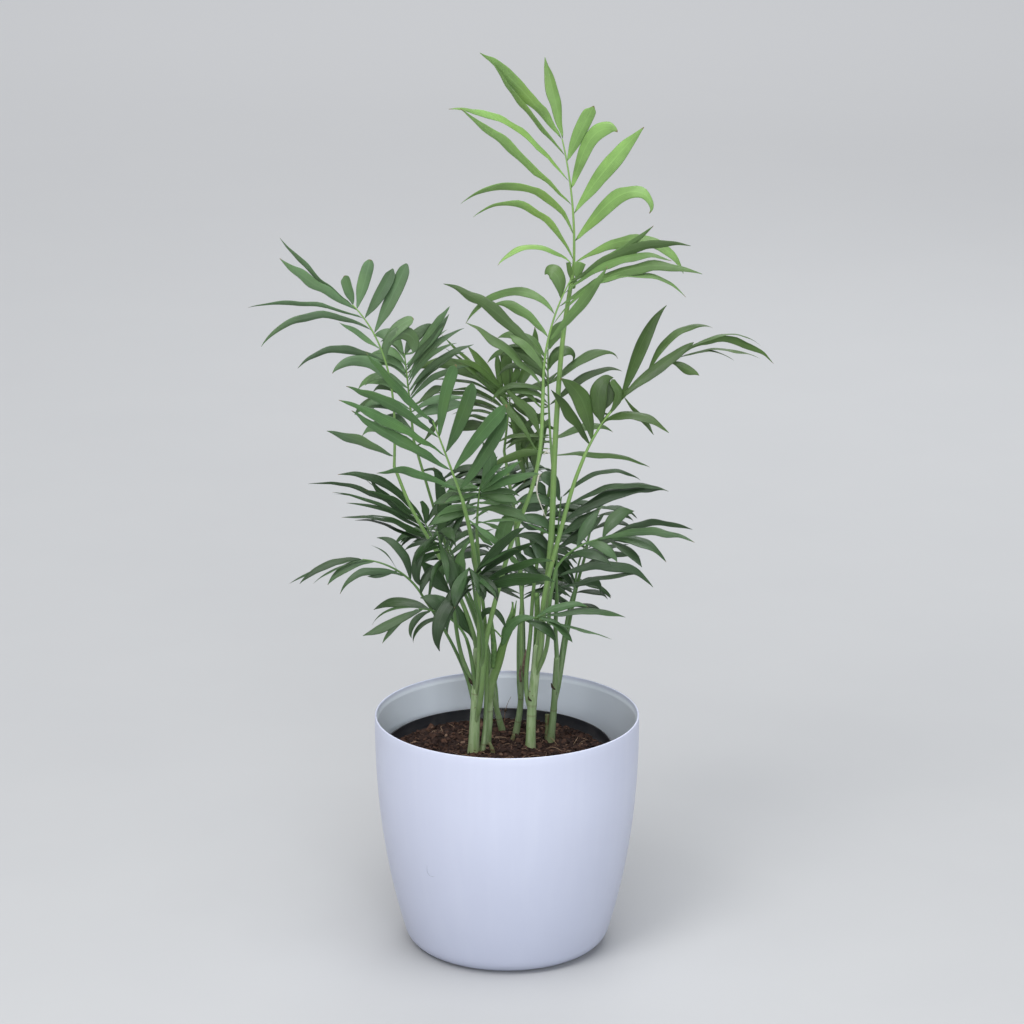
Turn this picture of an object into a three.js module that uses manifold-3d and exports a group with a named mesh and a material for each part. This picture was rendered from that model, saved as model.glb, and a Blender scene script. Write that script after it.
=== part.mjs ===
// A young parlour palm: a clump of canes in its black nursery pot, standing in a round cover pot.
// Millimetres, +Z up. The origin is the centre of the cover pot's flat underside.
import * as THREE from "three";
import { mergeVertices } from "three/addons/utils/BufferGeometryUtils.js";
import Module from "manifold-3d";

const wasm = await Module();
wasm.setup();

const gap = 0.4; // room kept between neighbouring pieces
const footGap = 0.3; // room under a cane's flat cut

const coverPot = {
  rimRadius: 90,
  footRadius: 67, // where the side would meet the floor if the corner were sharp
  height: 164,
  belly: 2.3, // how late the side turns in towards the foot
  cornerRadius: 10,
  cornerAngles: [0, 30, 60, 90], // where the rounded corner's edges lie
  sideSteps: 4,
  wall: 2,
  floor: 2.6,
  lip: 1.3, // thickness of the rim's top edge
  lipHeight: 4.5,
  turns: 28,
};

const nurseryPot = {
  centre: [-6, -4],
  rimRadius: 78,
  neckRadius: 74,
  footRadius: 53,
  height: 139,
  rimHeight: 9,
  wall: 1.2,
  turns: 22,
};

const soil = {
  top: 135,
  crown: 1.5, // how much higher the middle lies than the edge
  crownShare: 0.5, // how far out the raised middle reaches, as a share of the nursery pot's rim
};

const caneShape = {
  flare: 1.15, // how much wider the cut foot is than the cane above it
  sides: 7,
  steps: 3,
};
const petioleShape = { sides: 4, steps: 3 };

// Each cane runs from a flat cut on the soil up to its fork. Widths are diameters from foot to fork.
const canes = [
  { name: "cane_left", through: [[-23, -2], [-21, -5, 180], [-20, -6, 207]], width: [8, 6.4, 5.8] },
  { name: "cane_centre", through: [[-14, 14], [-12, 9, 160], [-12, 4, 180]], width: [5.6, 4.8, 4.4] },
  { name: "cane_thin", through: [[-17, 1], [-15, 2, 152], [-14, 1, 176]], width: [3.8, 3, 2.8] },
  { name: "cane_back_left", through: [[-3, 42], [-7, 34, 154], [-12, 25, 176]], width: [4.8, 3.8, 3.4] },
  { name: "cane_back", through: [[6, 37], [9, 34, 156], [10, 32, 178]], width: [4.8, 4, 3.6] },
  { name: "cane_right", through: [[16, 8], [17, 8, 165], [21, 5, 206]], width: [7, 6.2, 6] },
  { name: "cane_far_right", through: [[30, 22], [32, 20, 160], [34, 17, 194]], width: [5.4, 4.4, 4] },
];

// A frond: a rib that leaves its petiole at foot, and leaflets along both sides of it.
//   bearing  compass direction in degrees, 0 along +X and 90 along +Y
//   rise     slope above level in degrees: [foot, tip] on the rib, where each leaflet starts on a side
//   fall     slope at each leaflet's tip
//   length   of each leaflet, and reach is the rib's own length
//   faces    the way that the blade's upper side looks
// A side's lists run from the foot to the tip, and are spread over count leaflets.
const fronds = [
  {
    name: "crown", petiole: [[21, 5, 208], [26, 6, 243], [30, 9, 290], [32, 9, 347], [37, 8, 423]],
    stem: [4.6, 4, 2.8],
    foot: [44, 8, 472], bearing: 150, rise: [93, 75], reach: 86, faces: [0, -1, 0.35], leafWidth: 11.5,
    left: {
      count: 7, bearing: 200, at: [0.02, 0.06, 0.26, 0.49, 0.67, 0.87, 1],
      length: [61, 90, 97, 104, 103, 82, 83], rise: [44, 66, 72, 44, 54, 48, 54],
      fall: [-57, -36, -35, 38, 0, 58, 36],
      width: [0.4, 0.4, 0.42, 0.5, 0.45, 0.3, 0.75], late: [1.5, 1.5, 1, 1.5, 1.5, 1.5, 1.5],
    },
    right: {
      count: 6, bearing: -20, at: [0.04, 0.21, 0.42, 0.62, 0.83, 1],
      length: [89, 78, 78, 58, 42, 55], rise: [34, 51, 60, 72, 67, 102],
      fall: [-75, -135, 46, -43, 60, 105],
      width: [0.7, 0.95, 1, 0.8, 0.8, 0.72], late: [2, 4, 0.7, 4, 1.5, 1.5],
    },
  },
  {
    name: "second",
    petiole: [[-18, -13, 178], [-14, -18, 221], [-6, -22, 258], [4, -23, 295], [17, -22, 331], [22, -20, 356]],
    stem: [3.7, 3.1, 2.4],
    foot: [24, -14, 396], bearing: 10, rise: [91, 61], reach: 75, faces: [0, -1, 0.5], leafWidth: 10,
    left: {
      count: 6, bearing: 160, at: [0.02, 0.16, 0.25, 0.46, 0.67, 0.82],
      length: [67, 34, 86, 46, 78, 26], rise: [45, 70, 47, 51, 69, 88], fall: [21, 3, 12, -13, -65, -74],
      width: [0.65, 1.1, 0.75, 0.6, 0.75, 1], late: [1.5, 1.5, 1.5, 1.5, 0.7, 3],
    },
    right: {
      count: 6, bearing: -20, at: [0.42, 0.57, 0.74, 0.87, 0.96, 1],
      length: [68, 110, 108, 83, 92, 70], rise: [48, 56, 40, 44, 39, 31], fall: [60, -46, -18, -15, -6, 43],
      width: [0.7, 0.45, 0.75, 0.6, 0.65, 0.5],
    },
  },
  {
    name: "right", petiole: [[23, 1, 212], [25, 0, 245], [35, 1, 289], [45, 3, 326]], stem: [4.2, 3.4, 2.4],
    foot: [52, 4, 345], bearing: 15, rise: [66, 22], reach: 94, faces: [-0.2, -0.9, 0.9], leafWidth: 11.5,
    left: {
      count: 7, bearing: 25, at: [0.08, 0.11, 0.24, 0.45, 0.71, 0.92, 1],
      length: [51, 54, 39, 73, 66, 74, 79], rise: [120, 99, 101, 68, 69, 34, 43],
      fall: [133, 154, -12, 34, -30, -44, -47],
      width: [0.7, 1.05, 1.1, 1.15, 0.7, 0.35, 0.3], late: [1.5, 2, 3, 4, 1.5, 1.5, 0.7],
    },
    right: {
      count: 5, bearing: -20, at: [0.21, 0.5, 0.91, 0.96, 1],
      length: [56, 32, 22, 43, 57], rise: [69, -48, -14, 28, 22], fall: [-44, -50, -29, -34, -24],
      width: [0.75, 0.3, 0.5, 0.3, 0.35], late: [0.7, 1.5, 1.5, 1.5, 1.5],
    },
  },
  {
    name: "inner", petiole: [[13, 12, 180], [16, 17, 216], [18, 22, 245], [24, 26, 286]],
    stem: [3.2, 2.6, 2.2],
    foot: [31, 28, 328], bearing: 100, rise: [61, 91], reach: 82, faces: [0, -0.9, 0.6], leafWidth: 10,
    left: {
      count: 6, bearing: 168, at: [0.14, 0.27, 0.43, 0.55, 0.75, 0.92],
      length: [50, 38, 43, 48, 52, 43], rise: [1, 12, -63, 45, 59, 61],
      fall: [-56, -39, -104, -74, -59, -43],
      width: [0.5, 0.5, 0.85, 0.75, 0.7, 0.7],
    },
    right: {
      count: 6, bearing: 12, at: [0.12, 0.26, 0.54, 0.71, 0.83, 1],
      length: [71, 46, 58, 57, 34, 25], rise: [4, 21, 39, 37, 76, 71], fall: [-32, -53, -30, -70, -146, 43],
      width: [0.5, 0.7, 0.7, 0.75, 1, 0.9], late: [1.5, 3, 3, 4, 2, 1.5],
    },
  },
  {
    name: "left", petiole: [[-20, -6, 209], [-28, -8, 240], [-44, -8, 275], [-64, -7, 312]],
    stem: [3.5, 2.7, 2.1],
    foot: [-75, -6, 340], bearing: 170, rise: [92, 44], late: 2, reach: 116, faces: [0.1, -1, 0.5],
    leafWidth: 10.5,
    left: {
      count: 8, bearing: 195, at: [0.06, 0.49, 0.62, 0.7, 0.82, 0.9, 0.96, 1],
      length: [50, 49, 64, 34, 82, 79, 64, 68], rise: [30, 60, 30, 39, 28, 21, 33, 38],
      fall: [16, -58, -47, 30, -56, -10, 42, 56], width: [0.6, 0.75, 0.45, 0.4, 0.45, 0.25, 0.6, 0.25],
    },
    right: {
      count: 6, bearing: 15, at: [0.62, 0.7, 0.8, 0.9, 0.97, 1],
      length: [44, 30, 51, 38, 34, 21], rise: [100, 60, 62, 56, 74, 104], fall: [-130, 13, 66, 64, 74, 108],
      width: [0.7, 0.8, 0.9, 0.8, 0.8, 0.75],
    },
  },
  {
    name: "front", petiole: [[-19, -13, 198], [-19, -24, 251], [-23, -42, 299]], stem: [3.7, 3.3, 2.6],
    foot: [-29, -52, 330], bearing: 200, rise: [71, 69], reach: 59, faces: [0, -1, 0.7], leafWidth: 10.5,
    left: {
      count: 5, bearing: 215, at: [0.12, 0.38, 0.55, 0.79, 1],
      length: [68, 92, 97, 85, 73], rise: [32, 33, 38, 40, 45], fall: [0, 36, 22, 21, 49],
      width: [0.45, 0.7, 0.75, 0.65, 0.75],
    },
    right: {
      count: 4, bearing: -35, at: [0.12, 0.36, 0.6, 0.8],
      length: [69, 67, 55, 53], rise: [55, 55, 62, 86], fall: [60, 43, 73, 58],
      width: [0.9, 1, 0.95, 0.8],
    },
  },
  {
    name: "mid_left", petiole: [[-12, 24, 180], [-16, 22, 202], [-25, 20, 235]], stem: [3, 2.6, 2],
    foot: [-40, 18, 262], bearing: 165, rise: [59, 66], reach: 34, faces: [0, -0.7, 1], leafWidth: 9,
    left: {
      count: 5, bearing: 190, at: [0.55, 0.72, 0.84, 0.94, 1],
      length: [58, 64, 92, 53, 74], rise: [25, 28, 43, 33, 58], fall: [-3, -4, -4, 58, -7],
      width: [0.6, 0.6, 0.25, 0.5, 0.6], late: [4, 1.5, 1.5, 1.5, 1.5],
    },
    right: {
      count: 4, bearing: 30, length: [44, 61, 50, 44], rise: [30, 81, 49, 55], fall: [-60, 113, -40, -30],
      width: [1, 0.9, 1, 1],
    },
  },
  {
    name: "low_left", petiole: [[-26, -4, 187], [-35, -8, 212], [-46, -11, 234]], stem: [2.6, 2.2, 1.8],
    foot: [-56, -14, 251], bearing: 185, rise: [63, 6], reach: 51, faces: [0, -0.6, 1], leafWidth: 8,
    left: {
      count: 5, bearing: 195, at: [0.38, 0.5, 0.83, 0.92, 1],
      length: [52, 21, 37, 41, 47], rise: [27, -6, -1, -5, 4], fall: [-70, -6, -57, -42, -50],
      width: [0.5, 0.3, 0.7, 0.45, 0.6],
    },
    right: {
      count: 3, bearing: 160, at: [0.28, 0.5, 1],
      length: [42, 26, 59], rise: [87, 60, -12], fall: [-9, 10, -40],
      width: [0.9, 0.25, 0.6],
    },
  },
  {
    name: "foot_left", petiole: [[-23, -12, 200], [-25, -16, 214]], stem: [2.8, 2.2],
    foot: [-27, -22, 224], bearing: 190, rise: [69, 3], reach: 42, faces: [0.1, -0.7, 1], leafWidth: 10,
    left: {
      count: 4, bearing: 200, at: [0.5, 0.79, 0.92, 1],
      length: [34, 26, 45, 34], rise: [10, -14, -17, -25], fall: [-100, -111, -20, -62],
      width: [0.6, 0.4, 0.8, 0.35],
    },
    right: {
      count: 4, bearing: 165, at: [0.25, 0.46, 0.79, 0.9],
      length: [30, 26, 43, 43], rise: [70, 62, 21, 9], fall: [10, -13, -43, -68],
      width: [1, 1, 0.9, 0.4],
    },
  },
  {
    name: "mid_right", petiole: [[34, 17, 196], [33, 17, 218]], stem: [3, 2.8],
    foot: [34, 18, 242], bearing: 60, rise: [95, 76], reach: 69, faces: [0.2, -0.9, 0.7], leafWidth: 10,
    left: {
      count: 6, bearing: 172, at: [0.1, 0.18, 0.35, 0.59, 0.84, 0.96],
      length: [42, 33, 39, 37, 32, 25], rise: [33, 67, 73, 64, 69, 76], fall: [46, 39, -37, -44, -43, -4],
      width: [0.8, 1.2, 0.9, 0.9, 0.9, 1.1], late: [0.7, 1.5, 1.5, 1.5, 1, 2.5],
    },
    right: {
      count: 8, bearing: 5, at: [0.08, 0.2, 0.36, 0.5, 0.62, 0.72, 0.88, 1],
      length: [55, 72, 50, 40, 34, 78, 78, 61], rise: [17, 23, 18, 31, 32, 37, 32, 46],
      fall: [-3, -55, 4, 45, 36, -12, -27, -43],
      width: [0.55, 0.7, 0.6, 0.9, 0.8, 1, 0.6, 0.55],
    },
  },
  {
    name: "low_right", petiole: [[27, -5, 214], [29, -6, 246]], stem: [3, 2.4],
    foot: [33, -6, 269], bearing: -4, rise: [60, 4], reach: 43, faces: [0, -0.8, 1], leafWidth: 9.5,
    left: {
      count: 3, bearing: 25, at: [0.46, 0.9, 0.97],
      length: [30, 32, 67], rise: [68, 70, 31], fall: [35, -18, -25],
      width: [0.9, 1, 0.5], late: [1.5, 1.5, 0.7],
    },
    right: {
      count: 5, bearing: -25, at: [0.3, 0.6, 0.79, 0.95, 1],
      length: [34, 28, 73, 32, 46], rise: [20, 8, 22, -16, 12], fall: [-50, -66, -19, -58, -58],
      width: [0.9, 0.8, 0.6, 0.8, 1],
    },
  },
  {
    name: "back_centre", petiole: [[10, 33, 180], [10, 40, 211], [10, 50, 239], [7, 60, 275]],
    stem: [3.2, 2.6, 2],
    foot: [-2, 72, 329], bearing: 120, rise: [102, 101], reach: 41, faces: [0, -0.9, 0.6], leafWidth: 10,
    left: {
      count: 8, bearing: 178, at: [0.35, 0.62, 0.75, 0.8, 0.85, 0.88, 0.93, 1],
      length: [40, 49, 56, 52, 60, 67, 80, 36], rise: [24, 32, 34, 61, 39, 53, 48, 82],
      fall: [-40, -23, -24, 43, -17, 42, -35, 100], width: [0.8, 0.35, 0.35, 0.9, 0.3, 0.35, 0.8, 0.85],
      late: [1.5, 1.5, 1.5, 4, 1.5, 0.7, 1.5, 1.5],
    },
    right: {
      count: 4, bearing: 25, at: [0.5, 0.8, 0.9, 1],
      length: [44, 56, 46, 52], rise: [-35, -72, -58, 52], fall: [-100, -88, -61, 95],
      width: [0.8, 0.65, 0.95, 0.9], late: [1.5, 1.5, 4, 1.5],
    },
  },
  {
    name: "back_left", petiole: [[-11, 33, 180], [-22, 36, 219], [-42, 38, 272], [-52, 36, 307]],
    stem: [2.8, 2.2, 1.8],
    foot: [-63, 34, 347], bearing: 150, rise: [84, 83], reach: 60, faces: [0, -1, 0.6], leafWidth: 9.5,
    left: {
      count: 5, bearing: 165,
      length: [40, 46, 42, 36, 28], rise: [30, 36, 44, 56, 70], fall: [-60, -70, -60, -40],
    },
    right: {
      count: 5, bearing: 15, at: [0.25, 0.5, 0.68, 0.84, 1],
      length: [44, 58, 54, 46, 28], rise: [30, 58, 61, 46, 65], fall: [-30, 6, 11, 56, 13],
      width: [0.9, 0.7, 0.6, 0.7, 0.8],
    },
  },
  {
    name: "drop_left", petiole: [[-30, -14, 208], [-35, -27, 243]], stem: [2.8, 2.4],
    foot: [-36, -38, 271], bearing: 220, rise: [65, 76], reach: 38, faces: [0, -1, 0.5], leafWidth: 10,
    left: {
      count: 3, bearing: 230, at: [0.4, 0.7, 0.95], length: [34, 30, 46], rise: [0, 20, -15],
      fall: [-90, -60, -144], width: [0.7, 0.6, 0.75],
    },
    right: {
      count: 3, bearing: -60, at: [0.3, 0.75, 1], length: [30, 44, 26], rise: [10, -38, 30],
      fall: [-70, -98, -50], width: [0.7, 0.95, 0.7],
    },
  },
  {
    name: "drop_front", petiole: [[-16, -22, 214], [-17, -32, 238]], stem: [2.8, 2.4],
    foot: [-21, -43, 258], bearing: 255, rise: [72, 52], reach: 31, faces: [0, -0.7, 1], leafWidth: 10.5,
    left: {
      count: 4, bearing: -45, at: [0.3, 0.6, 0.75, 1],
      length: [77, 68, 30, 26], rise: [28, 62, 5, -27], fall: [-1, 31, -80, -100],
      width: [1, 0.85, 0.75, 0.7], late: [1.5, 0.7, 1.5, 1.5],
    },
    right: {
      count: 3, bearing: 235, at: [0.35, 0.7, 1],
      length: [64, 34, 30], rise: [8, -10, -32], fall: [-120, -100, -90],
      width: [1, 0.8],
    },
  },
  {
    name: "mid_front", petiole: [[-14, 0, 177], [-14, -6, 219], [-18, -18, 268]], stem: [2.8, 2.6, 2.2],
    foot: [-20, -29, 302], bearing: 280, rise: [79, 60], reach: 36, faces: [0, -0.7, 1], leafWidth: 9,
    left: {
      count: 5, bearing: -10, at: [0.5, 0.8, 0.88, 0.94, 1],
      length: [36, 28, 43, 36, 25], rise: [10, 16, 31, 57, 67], fall: [-50, -52, 2, 133, 18],
      width: [0.9, 0.9, 0.9, 1.1, 0.8],
    },
    right: {
      count: 3, bearing: 190, at: [0.4, 0.8, 1], length: [34, 31, 26], rise: [10, 3, 20],
      fall: [-50, -25, -20],
    },
  },
  {
    name: "young", petiole: [[-11, 4, 182], [-6, 0, 200], [-2, -6, 216]], stem: [3.6, 6, 6, 3.4],
    foot: [3, -12, 229], bearing: -10, rise: [40, 10], reach: 20, faces: [0, -0.7, 1], leafWidth: 9,
    left: {
      count: 2, bearing: 5, at: [0.9, 1], length: [38, 60], rise: [33, 13], fall: [-23, -23],
      width: [0.5, 0.75],
    },
    right: {
      count: 3, bearing: -15, at: [0.5, 0.75, 1], length: [28, 57, 30], rise: [-1, -4, -10],
      fall: [-80, -19, -70], width: [1.1, 0.4, 0.9],
    },
  },
  {
    name: "foot_right", petiole: [[37, 20, 192], [39, 24, 211], [42, 27, 228]], stem: [2.4, 2, 1.8],
    foot: [46, 30, 241], bearing: 70, rise: [80, 20], reach: 36, faces: [0, -0.6, 1], leafWidth: 8,
    left: { count: 3, bearing: 165, length: [30, 36, 30], rise: [60, 45, 35], fall: [20, -20, -50] },
    right: {
      count: 4, bearing: 15, length: [26, 48, 46, 36], rise: [40, 34, 30], fall: [-110, 10, -40],
      width: [0.7, 0.9, 0.6, 0.6],
    },
  },
  {
    name: "back_right", petiole: [[36, 23, 180], [42, 38, 212], [48, 52, 238]], stem: [3, 2.6, 2],
    foot: [54, 66, 256], bearing: 75, rise: [55, -20], reach: 66, faces: [-0.2, -0.3, 1], leafWidth: 10,
    left: {
      count: 5, bearing: 140, length: [44, 50, 50, 44, 36], rise: [40, 30, 15, 0],
      fall: [-50, -60, -60],
    },
    right: {
      count: 5, bearing: 10, length: [34, 34, 30, 28, 26], rise: [40, 30, 15, 0],
      fall: [-50, -60, -60],
    },
  },
  {
    name: "back_high", petiole: [[11, 38, 182], [11, 48, 216], [8, 62, 252]], stem: [3, 2.6, 2],
    foot: [5, 78, 278], bearing: 100, rise: [58, -30], reach: 76, faces: [0, -0.3, 1], leafWidth: 10,
    left: {
      count: 6, bearing: 165, length: [46, 54, 56, 52, 46, 38], rise: [40, 30, 15, -10],
      fall: [-50, -60, -70],
    },
    right: {
      count: 6, bearing: 35, length: [40, 46, 48, 46, 42, 36], rise: [40, 30, 15, -10],
      fall: [-50, -60, -70],
    },
  },
  {
    name: "back_low", petiole: [[8, 42, 178], [8, 56, 200]], stem: [2.8, 2.2],
    foot: [10, 72, 218], bearing: 85, rise: [45, -30], reach: 62, faces: [0, -0.2, 1], leafWidth: 10,
    left: {
      count: 5, bearing: 150, length: [42, 48, 48, 42, 36], rise: [30, 20, 5, -15],
      fall: [-50, -60, -70],
    },
    right: {
      count: 5, bearing: 20, length: [36, 42, 42, 38, 34], rise: [30, 20, 5, -15],
      fall: [-50, -60, -70],
    },
  },
  {
    name: "back_low_left", petiole: [[-9, 38, 176], [-16, 45, 206], [-25, 50, 230]], stem: [2.8, 2.4, 2],
    foot: [-34, 56, 248], bearing: 115, rise: [54, -25], reach: 64, faces: [0.1, -0.2, 1], leafWidth: 9.5,
    left: {
      count: 5, bearing: 180, length: [30, 34, 34, 30, 28], rise: [36, 26, 10, -10],
      fall: [-50, -60, -70],
    },
    right: {
      count: 5, bearing: 55, length: [42, 50, 50, 44, 38], rise: [36, 26, 10, -10],
      fall: [-50, -60, -70],
    },
  },
  {
    name: "back_low_right", petiole: [[34, 27, 172], [38, 40, 198]], stem: [2.8, 2.2],
    foot: [42, 52, 218], bearing: 75, rise: [48, -20], reach: 48, faces: [-0.1, -0.2, 1], leafWidth: 9.5,
    left: {
      count: 4, bearing: 125, length: [38, 44, 42, 36], rise: [34, 22, 5, -10],
      fall: [-50, -60, -70],
    },
    right: {
      count: 4, bearing: -5, length: [24, 26, 26, 24], rise: [34, 22, 5, -10],
      fall: [-50, -60, -70],
    },
  },
];

const blade = {
  ribWidth: [2.8, 1.8], // across the rib, at the frond's foot and at its tip
  ribKeel: [1.8, 1.3],
  ribCrest: 0.8, // how far the rib's flat upper side stands over the leaflets' roots
  ribSteps: 3,
  ribEnd: 1, // how far the rib runs on past its last leaflets
  firstLeaf: 0.07, // where along the rib a side's leaflets start
  rooted: 1, // how deep a leaflet's pointed root lies behind the rib's centre
  keel: 1.3, // depth of a leaflet under its midrib, at its widest
  roll: 14, // degrees that a leaflet turns about its midrib, so that it passes over its neighbour
  lineSteps: 24, // straight pieces in a leaflet's midrib
  late: 1.5, // above 1, a leaflet bends more towards its tip
  widest: 0.4, // how far along a leaflet is at its widest
  strongBend: 60, // a leaflet that bends by more degrees than this gets one more section
  extra: [0.75, 0.64], // where that section lies, and its share of the full width
};

// The value of a list that is spread evenly from 0 to 1.
function spread(list, t) {
  const place = t * (list.length - 1);
  const low = Math.min(Math.floor(place), list.length - 1);
  const high = Math.min(low + 1, list.length - 1);
  return THREE.MathUtils.lerp(list[low], list[high], place - low);
}

// A direction from its compass bearing and its slope above level.
function direction(bearing, slope) {
  const b = THREE.MathUtils.degToRad(bearing);
  const s = THREE.MathUtils.degToRad(slope);
  return new THREE.Vector3(Math.cos(b) * Math.cos(s), Math.sin(b) * Math.cos(s), Math.sin(s));
}

// A line of the given length that leaves start at slope rise and ends at slope fall, in one upright plane.
function bend(start, bearing, rise, fall, length, late, pieces = blade.lineSteps) {
  const points = [start.clone()];
  for (let i = 0; i < pieces; i++) {
    const slope = THREE.MathUtils.lerp(rise, fall, ((i + 0.5) / pieces) ** late);
    points.push(points[i].clone().addScaledVector(direction(bearing, slope), length / pieces));
  }
  const at = (t) => {
    const place = t * pieces;
    const i = Math.min(Math.floor(place), pieces - 1);
    return points[i].clone().lerp(points[i + 1], place - i);
  };
  const along = (t) => direction(bearing, THREE.MathUtils.lerp(rise, fall, t ** late));
  return { at, along };
}

// A closed skin over rings of equal count. Each end is a point where one is given, and flat where not.
function loft(rings, { start, tip } = {}) {
  const corners = rings.flat();
  const sides = rings[0].length;
  const last = (rings.length - 1) * sides;
  const faces = [];
  for (let k = 0; k < sides; k++) {
    const next = (k + 1) % sides;
    for (let r = 0; r < last; r += sides) {
      faces.push(r + k, r + next, r + next + sides, r + k, r + next + sides, r + k + sides);
    }
    if (start) faces.push(next, k, corners.length);
    if (tip) faces.push(last + k, last + next, corners.length + (start ? 1 : 0));
  }
  for (let k = 1; k + 1 < sides; k++) {
    if (!start) faces.push(0, k + 1, k);
    if (!tip) faces.push(last, last + k, last + k + 1);
  }
  const geometry = new THREE.BufferGeometry();
  geometry.setFromPoints([...corners, start, tip].filter(Boolean));
  geometry.setIndex(faces);
  return geometry;
}

function solid(geometry) {
  const bare = geometry.clone();
  bare.deleteAttribute("normal");
  bare.deleteAttribute("uv");
  const merged = mergeVertices(bare, 1e-4);
  const mesh = new wasm.Mesh({
    numProp: 3,
    vertProperties: merged.attributes.position.array,
    triVerts: new Uint32Array(merged.index.array),
  });
  return new wasm.Manifold(mesh);
}

function geometryOf(body) {
  const mesh = body.getMesh();
  const geometry = new THREE.BufferGeometry();
  geometry.setAttribute("position", new THREE.BufferAttribute(new Float32Array(mesh.vertProperties), 3));
  geometry.setIndex(new THREE.BufferAttribute(new Uint32Array(mesh.triVerts), 1));
  const flat = geometry.toNonIndexed();
  flat.computeVertexNormals();
  return flat;
}

function largest(body) {
  return body.decompose().reduce((best, piece) => (piece.volume() > best.volume() ? piece : best));
}

// A tapering round limb through the given points. A cane's foot is cut level.
function limb(points, widths, { sides = 6, steps = 6, level = false, grow = 0 } = {}) {
  const line = new THREE.CatmullRomCurve3(points.map((p) => new THREE.Vector3(...p)), false, "centripetal");
  const rings = [];
  for (let i = 0; i <= steps; i++) {
    const t = i / steps;
    const along = line.getTangentAt(t);
    const side = new THREE.Vector3(1, 0, 0).addScaledVector(along, -along.x).normalize();
    const other = along.clone().cross(side);
    const radius = spread(widths, t) / 2 + grow;
    const centre = line.getPointAt(t);
    if (i === 0) centre.addScaledVector(along, -grow);
    if (i === steps) centre.addScaledVector(along, grow);
    const ring = [];
    for (let k = 0; k < sides; k++) {
      const turn = (2 * Math.PI * k) / sides;
      const corner = centre.clone();
      corner.addScaledVector(side, radius * Math.cos(turn)).addScaledVector(other, radius * Math.sin(turn));
      if (level && i === 0) corner.z = centre.z;
      ring.push(corner);
    }
    rings.push(ring);
  }
  return solid(loft(rings));
}

// One section of a blade: a flat upper side over a keel. A grown one holds the plain one with room all round.
function section(centre, along, facing, wide, deep, grow, roll = 0) {
  const upper = facing.clone().addScaledVector(along, -along.dot(facing)).normalize();
  upper.applyAxisAngle(along, THREE.MathUtils.degToRad(roll));
  const across = upper.clone().cross(along);
  const corner = (x, y) => centre.clone().addScaledVector(across, x).addScaledVector(upper, y);
  const half = wide / 2;
  if (grow === 0) return [corner(half, 0), corner(-half, 0), corner(0, -deep)];
  const out = half + grow;
  const top = [corner(out, grow), corner(-out, grow)];
  return [...top, corner(-out, -grow), corner(0, -deep - grow), corner(out, -grow)];
}

// One leaflet: a long blade, narrow at its root and drawn out to a point.
function leaflet(root, frond, side, index, roll, grow) {
  const t = side.count > 1 ? index / (side.count - 1) : 0;
  const width = frond.leafWidth * (side.width ? spread(side.width, t) : 1);
  const [rise, fall, length] = [side.rise, side.fall, side.length].map((list) => spread(list, t));
  const line = bend(root, side.bearing, rise, fall, length, spread(side.late ?? [blade.late], t));
  const facing = new THREE.Vector3(...frond.faces);
  const ring = (centre, along, share) => {
    return section(centre, along, facing, width * share, blade.keel * share, grow, roll);
  };
  const wide = line.at(blade.widest);
  const along = wide.clone().sub(root).normalize();
  const rings = [ring(wide, along, 1)];
  if (Math.abs(rise - fall) > blade.strongBend) {
    const [u, share] = blade.extra;
    rings.push(ring(line.at(u), line.along(u), share));
  }
  const start = root.clone().addScaledVector(along, -blade.rooted - grow);
  const tip = line.at(1).addScaledVector(line.along(1), 2 * grow);
  return solid(loft(rings, { start, tip }));
}

// A whole frond: its rib, with the leaflets of both sides joined to it.
function frondBlade(frond, grow = 0) {
  const foot = new THREE.Vector3(...frond.foot);
  const rib = bend(foot, frond.bearing, ...frond.rise, frond.reach, frond.late ?? 1, blade.ribSteps);
  const facing = new THREE.Vector3(...frond.faces);
  const rings = [];
  for (let i = 0; i <= blade.ribSteps; i++) {
    const t = i / blade.ribSteps;
    const along = rib.along(t);
    const crest = facing.clone().addScaledVector(along, -along.dot(facing)).setLength(blade.ribCrest);
    const centre = rib.at(t).add(crest);
    if (i === blade.ribSteps) centre.addScaledVector(along, blade.ribEnd + grow);
    if (i === 0) centre.addScaledVector(along, -grow);
    rings.push(section(centre, along, facing, spread(blade.ribWidth, t), spread(blade.ribKeel, t), grow));
  }
  let body = solid(loft(rings));
  for (const side of [frond.left, frond.right]) {
    for (let i = 0; i < side.count; i++) {
      const at = side.at ? side.at[i] : spread([blade.firstLeaf, 1], i / (side.count - 1));
      const roll = side === frond.left ? blade.roll : -blade.roll;
      body = body.add(leaflet(rib.at(at), frond, side, i, roll, grow));
    }
  }
  return body;
}

function petioleLimb(frond, grow = 0) {
  return limb([...frond.petiole, frond.foot], frond.stem, { ...petioleShape, grow });
}

function caneLimb({ through, width }, grow = 0) {
  const [foot, ...rest] = through;
  const start = [foot[0], foot[1], soil.top + soil.crown + footGap];
  const { flare, sides, steps } = caneShape;
  return limb([start, ...rest], [width[0] * flare, ...width], { sides, steps, level: true, grow });
}

// Outer radius of the cover pot at a height.
function coverRadius(z) {
  const drop = 1 - z / coverPot.height;
  return coverPot.rimRadius - (coverPot.rimRadius - coverPot.footRadius) * drop ** coverPot.belly;
}

function lathe(profile, turns) {
  const geometry = new THREE.LatheGeometry(profile.map(([r, z]) => new THREE.Vector2(r, z)), turns);
  return geometry.rotateX(Math.PI / 2);
}

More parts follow.
